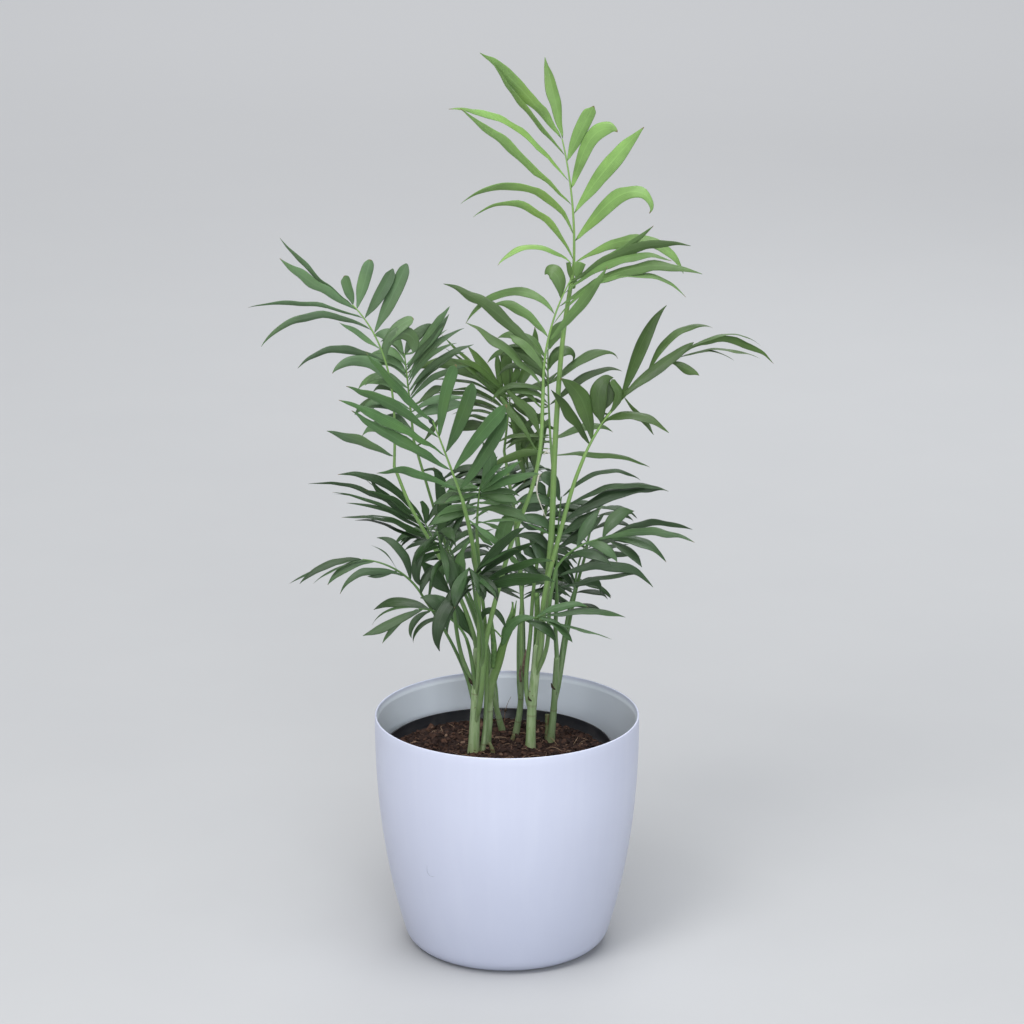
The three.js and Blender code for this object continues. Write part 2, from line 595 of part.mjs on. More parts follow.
function coverPotGeometry() {
  const { height, cornerRadius, wall, floor, lip, lipHeight, sideSteps } = coverPot;
  const profile = [[0, 0]];
  const corner = (inset) => {
    const reach = cornerRadius - inset;
    return coverPot.cornerAngles.map((angle) => {
      const a = THREE.MathUtils.degToRad(angle);
      const z = cornerRadius - reach * Math.cos(a);
      return [coverRadius(z) - inset - reach * (1 - Math.sin(a)), z];
    });
  };
  profile.push(...corner(0));
  for (let i = 1; i <= sideSteps; i++) {
    const z = THREE.MathUtils.lerp(cornerRadius, height, i / sideSteps);
    profile.push([coverRadius(z), z]);
  }
  profile.push([coverPot.rimRadius - lip, height]);
  for (let i = sideSteps; i >= 1; i--) {
    const z = THREE.MathUtils.lerp(cornerRadius, height - lipHeight, i / sideSteps);
    profile.push([coverRadius(z) - wall, z]);
  }
  profile.push(...corner(wall).reverse().filter(([, z]) => z > floor && z < cornerRadius));
  profile.push([coverPot.footRadius - cornerRadius, floor], [0, floor]);
  return lathe(profile, coverPot.turns);
}

const nurseryFoot = coverPot.floor + gap;

function nurseryPotGeometry() {
  const { rimRadius, neckRadius, footRadius, height, rimHeight, wall } = nurseryPot;
  const neck = height - rimHeight;
  return lathe([
    [0, 0],
    [footRadius, 0],
    [neckRadius, neck],
    [rimRadius, neck],
    [rimRadius, height],
    [rimRadius - wall, height],
    [rimRadius - wall, neck + wall],
    [neckRadius - wall, neck + wall],
    [footRadius - wall, wall],
    [0, wall],
  ], nurseryPot.turns);
}

function soilGeometry() {
  const { neckRadius, footRadius, height, rimHeight, rimRadius, wall } = nurseryPot;
  const low = nurseryFoot + wall + gap;
  const ledge = nurseryFoot + height - rimHeight + wall + gap;
  const inset = wall + 2 * gap;
  return lathe([
    [0, low],
    [footRadius - inset, low],
    [neckRadius - inset, ledge],
    [rimRadius - inset, ledge],
    [rimRadius - inset, soil.top],
    [rimRadius * soil.crownShare, soil.top + soil.crown],
    [0, soil.top + soil.crown],
  ], nurseryPot.turns);
}

const finish = {
  cover: { color: 0xd7dcf0, roughness: 0.42 },
  nursery: { color: 0x1d1d22, roughness: 0.5 },
  soil: { color: 0x4a3024, roughness: 1 },
  cane: { color: 0x7fa25e, roughness: 0.55 },
  petiole: { color: 0x7aa04c, roughness: 0.5 },
  paleLeaf: { color: 0x7da555, roughness: 0.5 },
  midLeaf: { color: 0x5b8a45, roughness: 0.5 },
  darkLeaf: { color: 0x3c6634, roughness: 0.5 },
};
const leafFinish = {
  crown: finish.paleLeaf,
  second: finish.paleLeaf,
  ...Object.fromEntries(
    ["left", "front", "inner", "mid_front", "young", "back_left"].map((name) => [name, finish.midLeaf]),
  ),
};

const palm = new THREE.Group();

function addMesh(name, geometry, look, parent = palm) {
  const mesh = new THREE.Mesh(geometry, new THREE.MeshStandardMaterial({ metalness: 0, ...look }));
  mesh.name = name;
  parent.add(mesh);
  return mesh;
}

const inner = new THREE.Group();
inner.position.set(nurseryPot.centre[0], nurseryPot.centre[1], 0);
palm.add(inner);
addMesh("cover_pot", coverPotGeometry(), finish.cover);
addMesh("nursery_pot", nurseryPotGeometry(), finish.nursery, inner).position.z = nurseryFoot;
addMesh("soil", soilGeometry(), finish.soil, inner);

// The plant's pieces in the order in which they claim their space: each is cut clear of those before it.
const pieces = [
  ...canes.map((cane) => ({
    name: cane.name,
    look: finish.cane,
    make: (grow) => caneLimb(cane, grow),
  })),
  ...fronds.map((frond) => ({
    name: `petiole_${frond.name}`,
    look: finish.petiole,
    make: (grow) => petioleLimb(frond, grow),
  })),
  ...fronds.map((frond) => ({
    name: `frond_${frond.name}`,
    look: leafFinish[frond.name] ?? finish.darkLeaf,
    make: (grow) => frondBlade(frond, grow),
  })),
];

function boxesMeet(a, b) {
  const [p, q] = [a.boundingBox(), b.boundingBox()];
  return [0, 1, 2].every((axis) => p.min[axis] < q.max[axis] && q.min[axis] < p.max[axis]);
}

const claimed = [];
for (const piece of pieces) {
  let body = piece.make(0);
  for (const grown of claimed) {
    if (boxesMeet(body, grown)) body = body.subtract(grown);
  }
  addMesh(piece.name, geometryOf(largest(body)), piece.look);
  claimed.push(piece.make(gap));
}

export default palm;
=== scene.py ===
import math
import random

import bpy
import numpy as np
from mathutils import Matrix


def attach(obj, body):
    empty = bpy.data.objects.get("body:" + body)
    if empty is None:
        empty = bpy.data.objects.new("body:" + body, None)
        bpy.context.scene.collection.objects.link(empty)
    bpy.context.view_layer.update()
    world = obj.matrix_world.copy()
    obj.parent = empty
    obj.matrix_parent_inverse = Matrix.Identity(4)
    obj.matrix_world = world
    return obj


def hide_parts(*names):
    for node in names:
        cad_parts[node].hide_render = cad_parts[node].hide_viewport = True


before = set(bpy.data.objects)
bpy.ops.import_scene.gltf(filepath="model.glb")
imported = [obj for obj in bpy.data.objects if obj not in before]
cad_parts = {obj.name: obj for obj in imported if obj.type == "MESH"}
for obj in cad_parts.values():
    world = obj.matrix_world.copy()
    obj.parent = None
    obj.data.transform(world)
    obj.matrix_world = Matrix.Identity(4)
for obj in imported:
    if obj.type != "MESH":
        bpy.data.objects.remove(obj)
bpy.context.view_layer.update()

mm = 0.001  # sizes below are in millimetres unless a note says otherwise
closeGap = 0.000001  # metres: points nearer to each other are merged, which closes tips
endStep = 0.05  # how far from its closed end a limb has its full width
print("palm: frame loaded,", len(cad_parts), "nodes")


# node trees, with short ways to add to them

class Wiring:  # what both kinds of tree share
    def __init__(self, tree):
        self.tree = tree

    def plug(self, socket, value):
        if isinstance(value, bpy.types.NodeSocket):
            self.tree.links.new(value, socket)
        else:
            socket.default_value = value

    def add(self, kind, inputs=None, **settings):
        node = self.tree.nodes.new(kind)
        for key, value in settings.items():
            setattr(node, key, value)
        for key, value in (inputs or {}).items():
            self.plug(node.inputs[key], value)
        return node

    def calc(self, operation, *values):
        return self.add("ShaderNodeMath", dict(enumerate(values)), operation=operation).outputs[0]

    def times(self, first, second):
        return self.calc("MULTIPLY", first, second)


class Finish(Wiring):  # a material
    def __init__(self, name, roughness, specular=0.5):
        self.material = bpy.data.materials.new(name)
        self.material.use_nodes = True
        super().__init__(self.material.node_tree)
        self.sockets = self.tree.nodes["Principled BSDF"].inputs
        self.sockets["Roughness"].default_value = roughness
        self.sockets["Specular IOR Level"].default_value = specular
        self.place = self.add("ShaderNodeTexCoord").outputs["Object"]

    def mix(self, factor, first, second, way="MIX"):
        node = self.add("ShaderNodeMix", data_type="RGBA", blend_type=way)
        for place, value in ((0, factor), (6, first), (7, second)):
            self.plug(node.inputs[place], (*value, 1) if isinstance(value, tuple) else value)
        return node.outputs[2]

    def layers(self, colour, *rows):  # each row: how much, and of which colour
        for factor, tint in rows:
            colour = self.mix(factor, colour, tint)
        return colour

    def ramp(self, value, low, high, start=0, end=1):
        return self.add("ShaderNodeMapRange", {0: value, 1: low, 2: high, 3: start, 4: end}).outputs[0]

    # a pattern is noise of this scale, detail and roughness, and a ramp of it where
    # two limits are given, with the values at them if they aren't 0 and 1
    def pattern(self, scale, detail, roughness, *limits, place=None):
        noise = self.add("ShaderNodeTexNoise", {
            "Vector": self.place if place is None else place,
            "Scale": scale, "Detail": detail, "Roughness": roughness}).outputs["Fac"]
        return self.ramp(noise, *limits) if limits else noise

    def carried(self, name):  # a value that the mesh carries at each point
        return self.add("ShaderNodeAttribute", attribute_name=name).outputs["Fac"]

    def upright(self, squeeze):  # the place for a pattern drawn out along Z
        return self.add("ShaderNodeMapping", {"Vector": self.place, "Scale": (1, 1, squeeze)}).outputs[0]

    def done(self, colour, bump=None, roughness=None):  # bump: height, strength, distance in metres
        self.plug(self.sockets["Base Color"], colour)
        if roughness is not None:
            self.plug(self.sockets["Roughness"], roughness)
        if bump:
            node = self.add("ShaderNodeBump", dict(zip(("Height", "Strength", "Distance"), bump)))
            self.plug(self.sockets["Normal"], node.outputs["Normal"])
        return self.material


class Shape(Wiring):  # a Geometry Nodes tree with named inputs
    def __init__(self, name, sizes):
        super().__init__(bpy.data.node_groups.new(name, "GeometryNodeTree"))
        sockets = self.tree.interface
        sockets.new_socket("Geometry", in_out="INPUT", socket_type="NodeSocketGeometry")
        sockets.new_socket("Geometry", in_out="OUTPUT", socket_type="NodeSocketGeometry")
        kinds = {int: "NodeSocketInt", float: "NodeSocketFloat"}
        for key, value in sizes.items():
            sockets.new_socket(key, in_out="INPUT", socket_type=kinds[type(value)]).default_value = value
        sockets.new_socket("Material", in_out="INPUT", socket_type="NodeSocketMaterial")
        self.given = self.tree.nodes.new("NodeGroupInput").outputs

    def geo(self, kind, inputs=None, **settings):
        return self.add("GeometryNode" + kind, inputs, **settings).outputs[0]

    def carried(self, name, **settings):
        return self.geo("InputNamedAttribute", {"Name": name}, **settings)

    def done(self, geometry):
        real = self.geo("RealizeInstances", {"Geometry": geometry})
        dressed = self.geo("SetMaterial", {"Geometry": real, "Material": self.given["Material"]})
        self.add("NodeGroupOutput", {0: dressed})
        return self.tree

    def alongLines(self, lines, profile):  # a closed skin of each line's own width
        return self.geo("CurveToMesh", {
            "Curve": lines, "Profile Curve": profile, "Scale": self.carried("halfWidth")})

    def closed(self, skin):
        merged = self.geo("MergeByDistance", {"Geometry": skin, "Distance": closeGap})
        return self.done(self.geo("SetShadeSmooth", {"Geometry": merged}))


# objects

def newObject(name, data):
    obj = bpy.data.objects.new(name, data)
    bpy.context.scene.collection.objects.link(obj)
    return obj


def newMesh(name, points, edges=(), faces=()):
    mesh = bpy.data.meshes.new(name)
    mesh.from_pydata((np.asarray(points) * mm).tolist(), edges, faces)
    return mesh


def meshObject(name, points, faces, material):
    mesh = newMesh(name, points, [], faces)
    mesh.materials.append(material)
    mesh.shade_smooth()
    return newObject(name, mesh)


def store(mesh, key, values):  # a number or a vector at each point
    values = np.asarray(values, np.float32)
    isVector = values.ndim == 2
    layer = mesh.attributes.new(key, "FLOAT_VECTOR" if isVector else "FLOAT", "POINT")
    layer.data.foreach_set("vector" if isVector else "value", values.ravel())


def lineObject(name, lines):  # each line is {"points": ..., other values at those points}
    edges, first = [], 0
    for line in lines:
        count = len(line["points"])
        edges += [(first + i, first + i + 1) for i in range(count - 1)]
        first += count
    mesh = newMesh(name, np.concatenate([line["points"] for line in lines]), edges)
    for key in lines[0]:
        if key != "points":
            store(mesh, key, np.concatenate([np.asarray(line[key], np.float32) for line in lines]))
    return newObject(name, mesh)


def runTree(obj, tree, values):
    modifier = obj.modifiers.new("shape", "NODES")
    modifier.node_group = tree
    for item in tree.interface.items_tree:
        if item.in_out == "INPUT" and item.name in values:
            modifier[item.identifier] = values[item.name]
    evaluated = obj.evaluated_get(bpy.context.evaluated_depsgraph_get())
    made = bpy.data.meshes.new_from_object(evaluated)
    obj.modifiers.remove(modifier)
    obj.data = made
    made.name = obj.name
    return obj


def keep(piece, slotName, *nodes):
    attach(piece, "root")
    if nodes:
        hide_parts(*nodes)


# lines

def spread(values, t):
    return float(np.interp(t * (len(values) - 1), range(len(values)), values))


def halfWidths(widths, count):
    return np.array([spread(widths, s) for s in np.linspace(0, 1, count)]) / 2


def unit(vector):
    return vector / np.linalg.norm(vector)


def walkedTo(points):  # the way along a line to each of its points
    return np.concatenate([[0], np.cumsum(np.linalg.norm(np.diff(points, axis=0), axis=1))])


def headings(points):
    steer = np.gradient(points, axis=0)
    return steer / np.linalg.norm(steer, axis=1)[:, None]


def readLine(wanted, marks, line):  # points of a line at the wanted marks
    return np.stack([np.interp(wanted, marks, line[:, k]) for k in range(3)], -1)


def direction(bearing, slope):
    b, s = np.radians(bearing), np.radians(slope)
    return np.stack([np.cos(b) * np.cos(s), np.sin(b) * np.cos(s), np.sin(s) + 0 * b], -1)


def bendLine(start, bearing, rise, fall, length, late, steps, sway=0.0):
    middle = (np.arange(steps) + 0.5) / steps
    slope = rise + (fall - rise) * middle ** late
    steer = bearing + sway * np.sin(middle * math.pi * 1.3)
    return np.vstack([start, start + np.cumsum(direction(steer, slope), 0) * length / steps])


def smoothLine(points, count):  # a soft curve through the points, evenly divided
    points = np.array(points, float)
    guides = [2 * points[0] - points[1], *points, 2 * points[-1] - points[-2]]
    t = np.linspace(0, 1, 24)[:, None]
    fine = []
    for a, b, c, d in zip(guides, guides[1:], guides[2:], guides[3:]):
        gaps = [max(np.linalg.norm(q - p) ** 0.5, 1e-3) for p, q in ((a, b), (b, c), (c, d))]
        leave = ((b - a) / gaps[0] - (c - a) / (gaps[0] + gaps[1]) + (c - b) / gaps[1]) * gaps[1]
        reach = ((c - b) / gaps[1] - (d - b) / (gaps[1] + gaps[2]) + (d - c) / gaps[2]) * gaps[1]
        fine.append((2 * t**3 - 3 * t**2 + 1) * b + (t**3 - 2 * t**2 + t) * leave
                    + (3 * t**2 - 2 * t**3) * c + (t**3 - t**2) * reach)
    fine = np.vstack(fine)
    walked = walkedTo(fine)
    return readLine(np.linspace(0, walked[-1], count), walked, fine)


# the two trees that grow limbs and leaflets along their lines

ripple = {
    "scale": 70, "atEdge": 8,  # how coarse it is, and how much stronger at a leaflet's edges
    "settling": 600,  # how soon it starts as a leaflet widens: none at either end
    "sidewaysShare": 0.4,
}


def makeLimbTree():
    g = Shape("limb along a line", {"Sides": 12})
    lines = g.geo("MeshToCurve", {"Mesh": g.given["Geometry"]})
    ring = g.geo("CurvePrimitiveCircle", {"Resolution": g.given["Sides"], "Radius": 1})
    return g.closed(g.alongLines(lines, ring))


def makeLeafletTree():
    g = Shape("leaflets along their midribs", {
        "Ring points": 16, "Crease": 0.2, "Pleats": 1.4, "Pleat depth": 0.06,
        "Thickness": 0.045, "Ripple": 0.0004})
    given = g.given
    lines = g.geo("MeshToCurve", {"Mesh": given["Geometry"]})
    facing = g.carried("sideways", data_type="FLOAT_VECTOR")
    turned = g.geo("SetCurveNormal", {"Curve": lines, "Normal": facing}, mode="FREE")
    ring = g.geo("CurvePrimitiveCircle", {"Resolution": given["Ring points"], "Radius": 1})
    across, lift = g.add("ShaderNodeSeparateXYZ", {0: g.geo("InputPosition")}).outputs[:2]
    crease = g.times(g.calc("ABSOLUTE", across), g.times(given["Crease"], -1))
    wave = g.calc("COSINE", g.times(g.times(across, given["Pleats"]), 2 * math.pi))
    pleat = g.times(wave, given["Pleat depth"])
    height = g.calc("ADD", g.calc("ADD", crease, pleat), g.times(lift, given["Thickness"]))
    ring = g.geo("StoreNamedAttribute", {"Geometry": ring, "Name": "across", "Value": across})
    ring = g.geo("StoreNamedAttribute", {
        "Geometry": ring, "Name": "under", "Value": g.calc("LESS_THAN", lift, -0.01)})
    spot = g.add("ShaderNodeCombineXYZ", {0: across, 1: height}).outputs[0]
    skin = g.alongLines(turned, g.geo("SetPosition", {"Geometry": ring, "Position": spot}))
    noise = g.add("ShaderNodeTexNoise", {"Scale": ripple["scale"], "Detail": 0}).outputs["Fac"]
    swing = g.times(g.calc("SUBTRACT", noise, 0.5), given["Ripple"])
    swing = g.times(swing, g.times(g.calc("ABSOLUTE", g.carried("across")), ripple["atEdge"]))
    settled = g.calc("MINIMUM", g.times(g.carried("halfWidth"), ripple["settling"]), 1)
    swing = g.times(swing, settled)
    offset = g.add("ShaderNodeCombineXYZ", {0: g.times(swing, ripple["sidewaysShare"]), 2: swing}).outputs[0]
    return g.closed(g.geo("SetPosition", {"Geometry": skin, "Offset": offset}))


limbTree = makeLimbTree()
leafletTree = makeLeafletTree()


# camera and light

view = {
    "place": (3.4, -2400, 1013),
    "downward": 16.4,  # degrees
    "lens": 131.3, "sensor": 36.0,
}
camera = newObject("camera", bpy.data.cameras.new("camera"))
camera.location = [v * mm for v in view["place"]]
camera.rotation_euler = (math.radians(90 - view["downward"]), 0, 0)
camera.data.lens = view["lens"]
camera.data.sensor_width = view["sensor"]
bpy.context.scene.camera = camera
bpy.context.scene.view_settings.view_transform = "Standard"

light = {  # name: (place and aim in metres, size, watts, colour)
    "key": ((-1.0, -1.5, 2.2), (0, 0, 0.35), 1.1, 24, (1.0, 0.985, 0.965)),
    "fill": ((0.4, -2.4, 0.9), (0, 0, 0.25), 1.0, 21, (0.93, 0.965, 1.0)),
    "top": ((0.1, -0.5, 2.6), (0, 0, 0.2), 1.8, 40, (0.97, 0.985, 1.0)),
    "rear": ((0.5, 1.7, 1.6), (0, 0, 0.3), 1.2, 7, (0.95, 0.98, 1.0)),
    "backdrop": ((0, 3.6, 3.0), (0, 3.4, 0), 3.0, 30, (0.98, 0.99, 1.0)),
}
for name, (place, aim, size, power, colour) in light.items():
    lamp = newObject(name, bpy.data.lights.new(name, "AREA"))
    lamp.data.shape = "DISK"
    lamp.data.size = size
    lamp.data.energy = power
    lamp.data.color = colour
    lamp.location = place
    gaze = np.array(aim) - np.array(place)
    tilt = math.acos(-gaze[2] / np.linalg.norm(gaze))
    lamp.rotation_euler = (tilt, 0, math.atan2(gaze[0], -gaze[1]) + math.pi)

studio = {
    "sky": (0.93, 0.95, 1.0, 1), "skyStrength": 0.37,
    "floorReach": 9000,
    "floorShadeNear": ((0.50, 0.505, 0.515), (0.53, 0.535, 0.54)), "floorFar": (0.93, 0.935, 0.94),
    "floorFade": (0.5, 4.5),  # metres from the pot: darker near the pot as painted shade, paler far off to even out the lamps' fall-off
    "floorCloud": (6, 3, 0.55),  # a pattern, as in class Finish
}
world = bpy.data.worlds.new("studio")
world.use_nodes = True
world.node_tree.nodes["Background"].inputs["Color"].default_value = studio["sky"]
world.node_tree.nodes["Background"].inputs["Strength"].default_value = studio["skyStrength"]
bpy.context.scene.world = world

m = Finish("pale floor", 0.8, 0.1)
away = m.add("ShaderNodeVectorMath", {0: m.place}, operation="LENGTH").outputs["Value"]
# painted shade on the floor around the pot
nearby = m.mix(m.pattern(*studio["floorCloud"]), *studio["floorShadeNear"])
floorMaterial = m.done(m.mix(m.ramp(away, *studio["floorFade"]), nearby, studio["floorFar"]))
reach = studio["floorReach"]
corners = [(-reach, -reach, 0), (reach, -reach, 0), (reach, reach, 0), (-reach, reach, 0)]
meshObject("floor", corners, [(0, 1, 2, 3)], floorMaterial)
print("palm: camera, light and floor")


# pots

coverPot = {
    "rimRadius": 90, "footRadius": 67, "height": 164,
    "belly": 2.3,  # how late the side turns in towards the foot
    "cornerRadius": 10, "wall": 2, "floor": 2.6,
    "lipRadius": 0.7,  # rounding of the rim's two edges
    "lipWidth": 1.4,
    "turns": 144, "sideRows": 26, "cornerRows": 10,
    # inside: a paler colour for the inner wall, painted light where the foliage shades it
    "colour": (0.656, 0.693, 0.842), "shade": (0.628, 0.66, 0.805), "inside": (0.86, 0.92, 1.0),
    "foot": (0.42, 0.45, 0.56),  # painted shade: the colour the pot darkens to towards its foot
    "footShadeFade": (0, 0.125, 0.5, 0),  # between these two heights in metres it goes from this share to that
    "cloud": (9, 4, 0.55, 0.35, 0.65),  # a pattern, and so are flow, roughness and grain
    "flow": (110, 2, 0.55, 0.45, 0.75, 0, 0.12), "drawnOut": 0.06,  # faint upright lines left by the mould
    "flowColour": (0.78, 0.81, 0.92),
    "roughness": (60, 5, 0.55, 0.3, 0.7, 0.31, 0.43), "gloss": 0.45, "grain": (1400, 2, 0.55),
}


def coverRadius(z):
    rim, foot = coverPot["rimRadius"], coverPot["footRadius"]
    return rim - (rim - foot) * (1 - z / coverPot["height"]) ** coverPot["belly"]


def roundedCorner(inset):  # the turn from the side into the underside
    radius = coverPot["cornerRadius"]
    reach = radius - inset
    line = []
    for angle in np.radians(np.linspace(0, 90, coverPot["cornerRows"])):
        z = radius - reach * math.cos(angle)
        line.append((coverRadius(z) - inset - reach * (1 - math.sin(angle)), z))
    return line


def ringsObject(name, ends, rings, material):  # rings of points, closed at both ends by a point
    turns, points, faces = len(rings[0]), list(ends), []
    for ring in rings:
        points += ring
    last = 2 + (len(rings) - 1) * turns
    for k in range(turns):
        n = (k + 1) % turns
        faces += [(0, 2 + n, 2 + k), (1, last + k, last + n)]
        faces += [(low + k, low + n, low + turns + n, low + turns + k) for low in range(2, last, turns)]
    return meshObject(name, points, faces, material)


def turnRing(r, z, turns, centre=(0, 0)):
    angles = np.linspace(0, 2 * math.pi, turns, endpoint=False)
    return [(centre[0] + r * math.cos(a), centre[1] + r * math.sin(a), z) for a in angles]


def turnProfile(name, profile, turns, material, centre=(0, 0)):  # profile runs from axis to axis
    rings = [turnRing(r, z, turns, centre) for r, z in profile[1:-1]]
    return ringsObject(name, [(*centre, profile[0][1]), (*centre, profile[-1][1])], rings, material)


def makeCoverPot():
    pot = coverPot
    m = Finish("satin pot plastic", 0.36, pot["gloss"])
    high = m.add("ShaderNodeSeparateXYZ", {0: m.place}).outputs[2]
    colour = m.layers(
        m.mix(m.pattern(*pot["cloud"]), pot["shade"], pot["colour"]),
        (m.pattern(*pot["flow"], place=m.upright(pot["drawnOut"])), pot["flowColour"]),
        # painted shade: darker towards the foot
        (m.ramp(high, *pot["footShadeFade"]), pot["foot"]),
        # painted light: the inner wall is made paler than the outside
        (m.times(m.carried("inside"), 0.9), pot["inside"]))
    material = m.done(colour, (m.pattern(*pot["grain"]), 0.12, 0.0002), m.pattern(*pot["roughness"]))
    height, wall, floor, lip = (pot[key] for key in ("height", "wall", "floor", "lipRadius"))
    profile = [(0, 0), (30, 0)] + roundedCorner(0)
    profile += [(coverRadius(z), z) for z in np.linspace(14, height - lip, pot["sideRows"])]
    outer, inside = pot["rimRadius"], pot["rimRadius"] - pot["lipWidth"]
    for edge, side, angles in ((outer, -1, (30, 60, 90)), (inside, 1, (90, 60, 30, 0))):
        for angle in np.radians(angles):
            profile.append((edge + side * lip * (1 - math.cos(angle)), height - lip + lip * math.sin(angle)))
    outerRows = len(profile) - 2  # the rest is the inside
    profile.append((inside, height - 3.4))
    profile.append((coverRadius(height - 4.5) - wall, height - 4.6))
    profile += [(coverRadius(z) - wall, z) for z in np.linspace(height - 5.2, 14, pot["sideRows"])]
    profile += [p for p in reversed(roundedCorner(wall)) if p[1] > floor + 0.2]
    profile += [(pot["footRadius"] - pot["cornerRadius"] - 1, floor), (25, floor), (0, floor)]
    piece = turnProfile("pot_cover", profile, pot["turns"], material)
    isInside = np.arange(len(profile) - 2) > outerRows
    store(piece.data, "inside", np.concatenate([[0, 1], np.repeat(isInside, pot["turns"])]))
    return piece


nurseryPot = {
    "centre": (-6, -4), "base": 3.0,
    "footRadius": 53, "neckRadius": 74, "neckHeight": 130, "rimRadius": 78, "height": 139, "wall": 1.2,
    "turns": 120,
    "colour": (0.012, 0.012, 0.016), "dust": (0.04, 0.036, 0.037),
    "dusty": (55, 6, 0.65, 0.5, 0.75), "roughness": (0.36, 0.7), "grain": (900, 3, 0.55),
}


def makeNurseryPot():
    pot = nurseryPot
    m = Finish("black pot plastic", 0.42)
    dusty = m.pattern(*pot["dusty"])
    material = m.done(m.mix(dusty, pot["colour"], pot["dust"]), (m.pattern(*pot["grain"]), 0.25, 0.0003),
                      m.ramp(dusty, 0, 1, *pot["roughness"]))
    foot, neck, rim, wall = (pot[k] for k in ("footRadius", "neckRadius", "rimRadius", "wall"))
    ledge, top = pot["neckHeight"], pot["height"]
    profile = [(0, 0), (foot - 2, 0), (foot - 0.6, 0.4), (foot, 1.8)]
    profile += [(foot + (neck - foot) * s, ledge * s) for s in np.linspace(0.05, 0.99, 12)]
    profile += [(neck + 0.4, ledge - 0.2), (rim - 0.6, ledge), (rim, ledge + 0.7), (rim, top - 0.9),
                (rim - 0.2, top - 0.3), (rim - 0.6, top), (rim - wall + 0.2, top - 0.1),
                (rim - wall, top - 0.7), (rim - wall, ledge + 1.8), (rim - wall - 0.6, ledge + wall),
                (neck - wall + 0.4, ledge + wall)]
    profile += [(foot - wall + (neck - foot) * s, wall + (ledge - wall) * s)
                for s in np.linspace(0.98, 0.02, 10)]
    profile += [(foot - wall - 1, wall), (0, wall)]
    profile = [(r, z + pot["base"]) for r, z in profile]
    return turnProfile("pot_nursery", profile, pot["turns"], material, pot["centre"])


keep(makeCoverPot(), "cover_plastic", "cover_pot")
keep(makeNurseryPot(), "nursery_plastic", "nursery_pot")
print("palm: pots")


# soil of coco chips

soil = {
    "radius": 76.2, "neckRadius": 72, "ledge": 134.6, "bottom": 5.0, "footRadius": 50.6,
    "top": 134.2, "middle": 136.2,  # height at the edge and in the middle
    # each lump has a place, a width and a height
    "lumps": [((-44, 22), 9, 6), ((-34, 34), 9, 4.5), ((-56, 8), 9, 4), ((-58, -26), 9, 3.5),
              ((-40, -46), 11, 3), ((14, 2), 7, 3.5), ((2, 6), 6, 3), ((26, 44), 8, 3.5),
              ((-2, 50), 8, 3), ((52, 8), 10, 1.5), ((8, -52), 14, 2), ((38, -38), 12, 1.5)],
    "turns": 96, "rings": 26,
    "dark": (0.014, 0.009, 0.009), "brown": (0.058, 0.033, 0.026), "pale": (0.26, 0.17, 0.12),
    "chip": (0.125, 0.066, 0.046), "fibre": ((0.16, 0.085, 0.05), (0.42, 0.30, 0.2)),
    "cloud": (260, 6, 0.7, 0.35, 0.7), "grain": (420, 5, 0.7), "fibreCloud": (300, 3, 0.55),
    "chips": 6200, "chipSquare": 74, "chipReach": 74.2,  # how many and how far out
    "chipLift": (-0.3, 0.5),
    "chipSizes": {"Smallest": 0.5, "Largest": 2.5, "Flatness": 0.6},
    "chipStretch": (0.5, 1.5), "chipTurn": ((-0.7, -0.7, 0), (0.7, 0.7, 6.3)), "chipDents": (900, 0.0022),
    "fibres": 190, "fibreSquare": 66, "fibreReach": 68, "fibreLength": (4, 15), "fibreWidth": (0.1, 0.28),
    "fibreRise": (5, 50), "fibreFall": (-50, 10), "fibreSway": (-60, 60), "fibrePoints": 8, "fibreSides": 5,
    "seed": 7,
}


def soilHeight(x, y):
    away = np.hypot(x, y) / soil["radius"]
    z = soil["middle"] + (soil["top"] - soil["middle"]) * away ** 2
    for (a, b), width, height in soil["lumps"]:
        z = z + height * np.exp(-((x - a) ** 2 + (y - b) ** 2) / width ** 2)
    z = z + 0.8 * np.sin(x * 0.31 + 1.3 * np.sin(y * 0.23)) * np.cos(y * 0.27 + 0.6)
    return np.where(away > 0.985, soil["top"], z)


def onSoil(x, y, lift):
    return x + nurseryPot["centre"][0], y + nurseryPot["centre"][1], float(soilHeight(x, y)) + lift


def makeSoilMaterial(name, isLoose):
    m = Finish(name, 0.95, 0.2)
    colour = m.mix(m.pattern(*soil["cloud"]), soil["dark"], soil["brown"])
    if isLoose:
        tone = m.carried("tone")
        colour = m.layers(colour, (m.ramp(tone, 0.45, 0.95, 0, 0.75), soil["chip"]),
                          (m.ramp(tone, 0.95, 1, 0, 0.9), soil["pale"]))
    return m.done(colour, (m.pattern(*soil["grain"]), 0.6, 0.0012))


def makeSoil():
    turns, centre, ledge = soil["turns"], nurseryPot["centre"], soil["ledge"]
    foot, neck, rim = (soil[key] for key in ("footRadius", "neckRadius", "radius"))
    rows = [(foot, soil["bottom"]), (neck, ledge - 0.5), (rim, ledge - 0.4)]
    rings = [turnRing(r, z, turns, centre) for r, z in rows]
    angles = np.linspace(0, 2 * math.pi, turns, endpoint=False)
    for share in np.linspace(1, 1 / soil["rings"], soil["rings"]):
        x, y = rim * share * np.cos(angles), rim * share * np.sin(angles)
        rings.append(list(zip(x + centre[0], y + centre[1], soilHeight(x, y))))
    ends = [(*centre, soil["bottom"]), (*centre, float(soilHeight(0, 0)))]
    return ringsObject("soil_bed", ends, rings, makeSoilMaterial("peat", False))


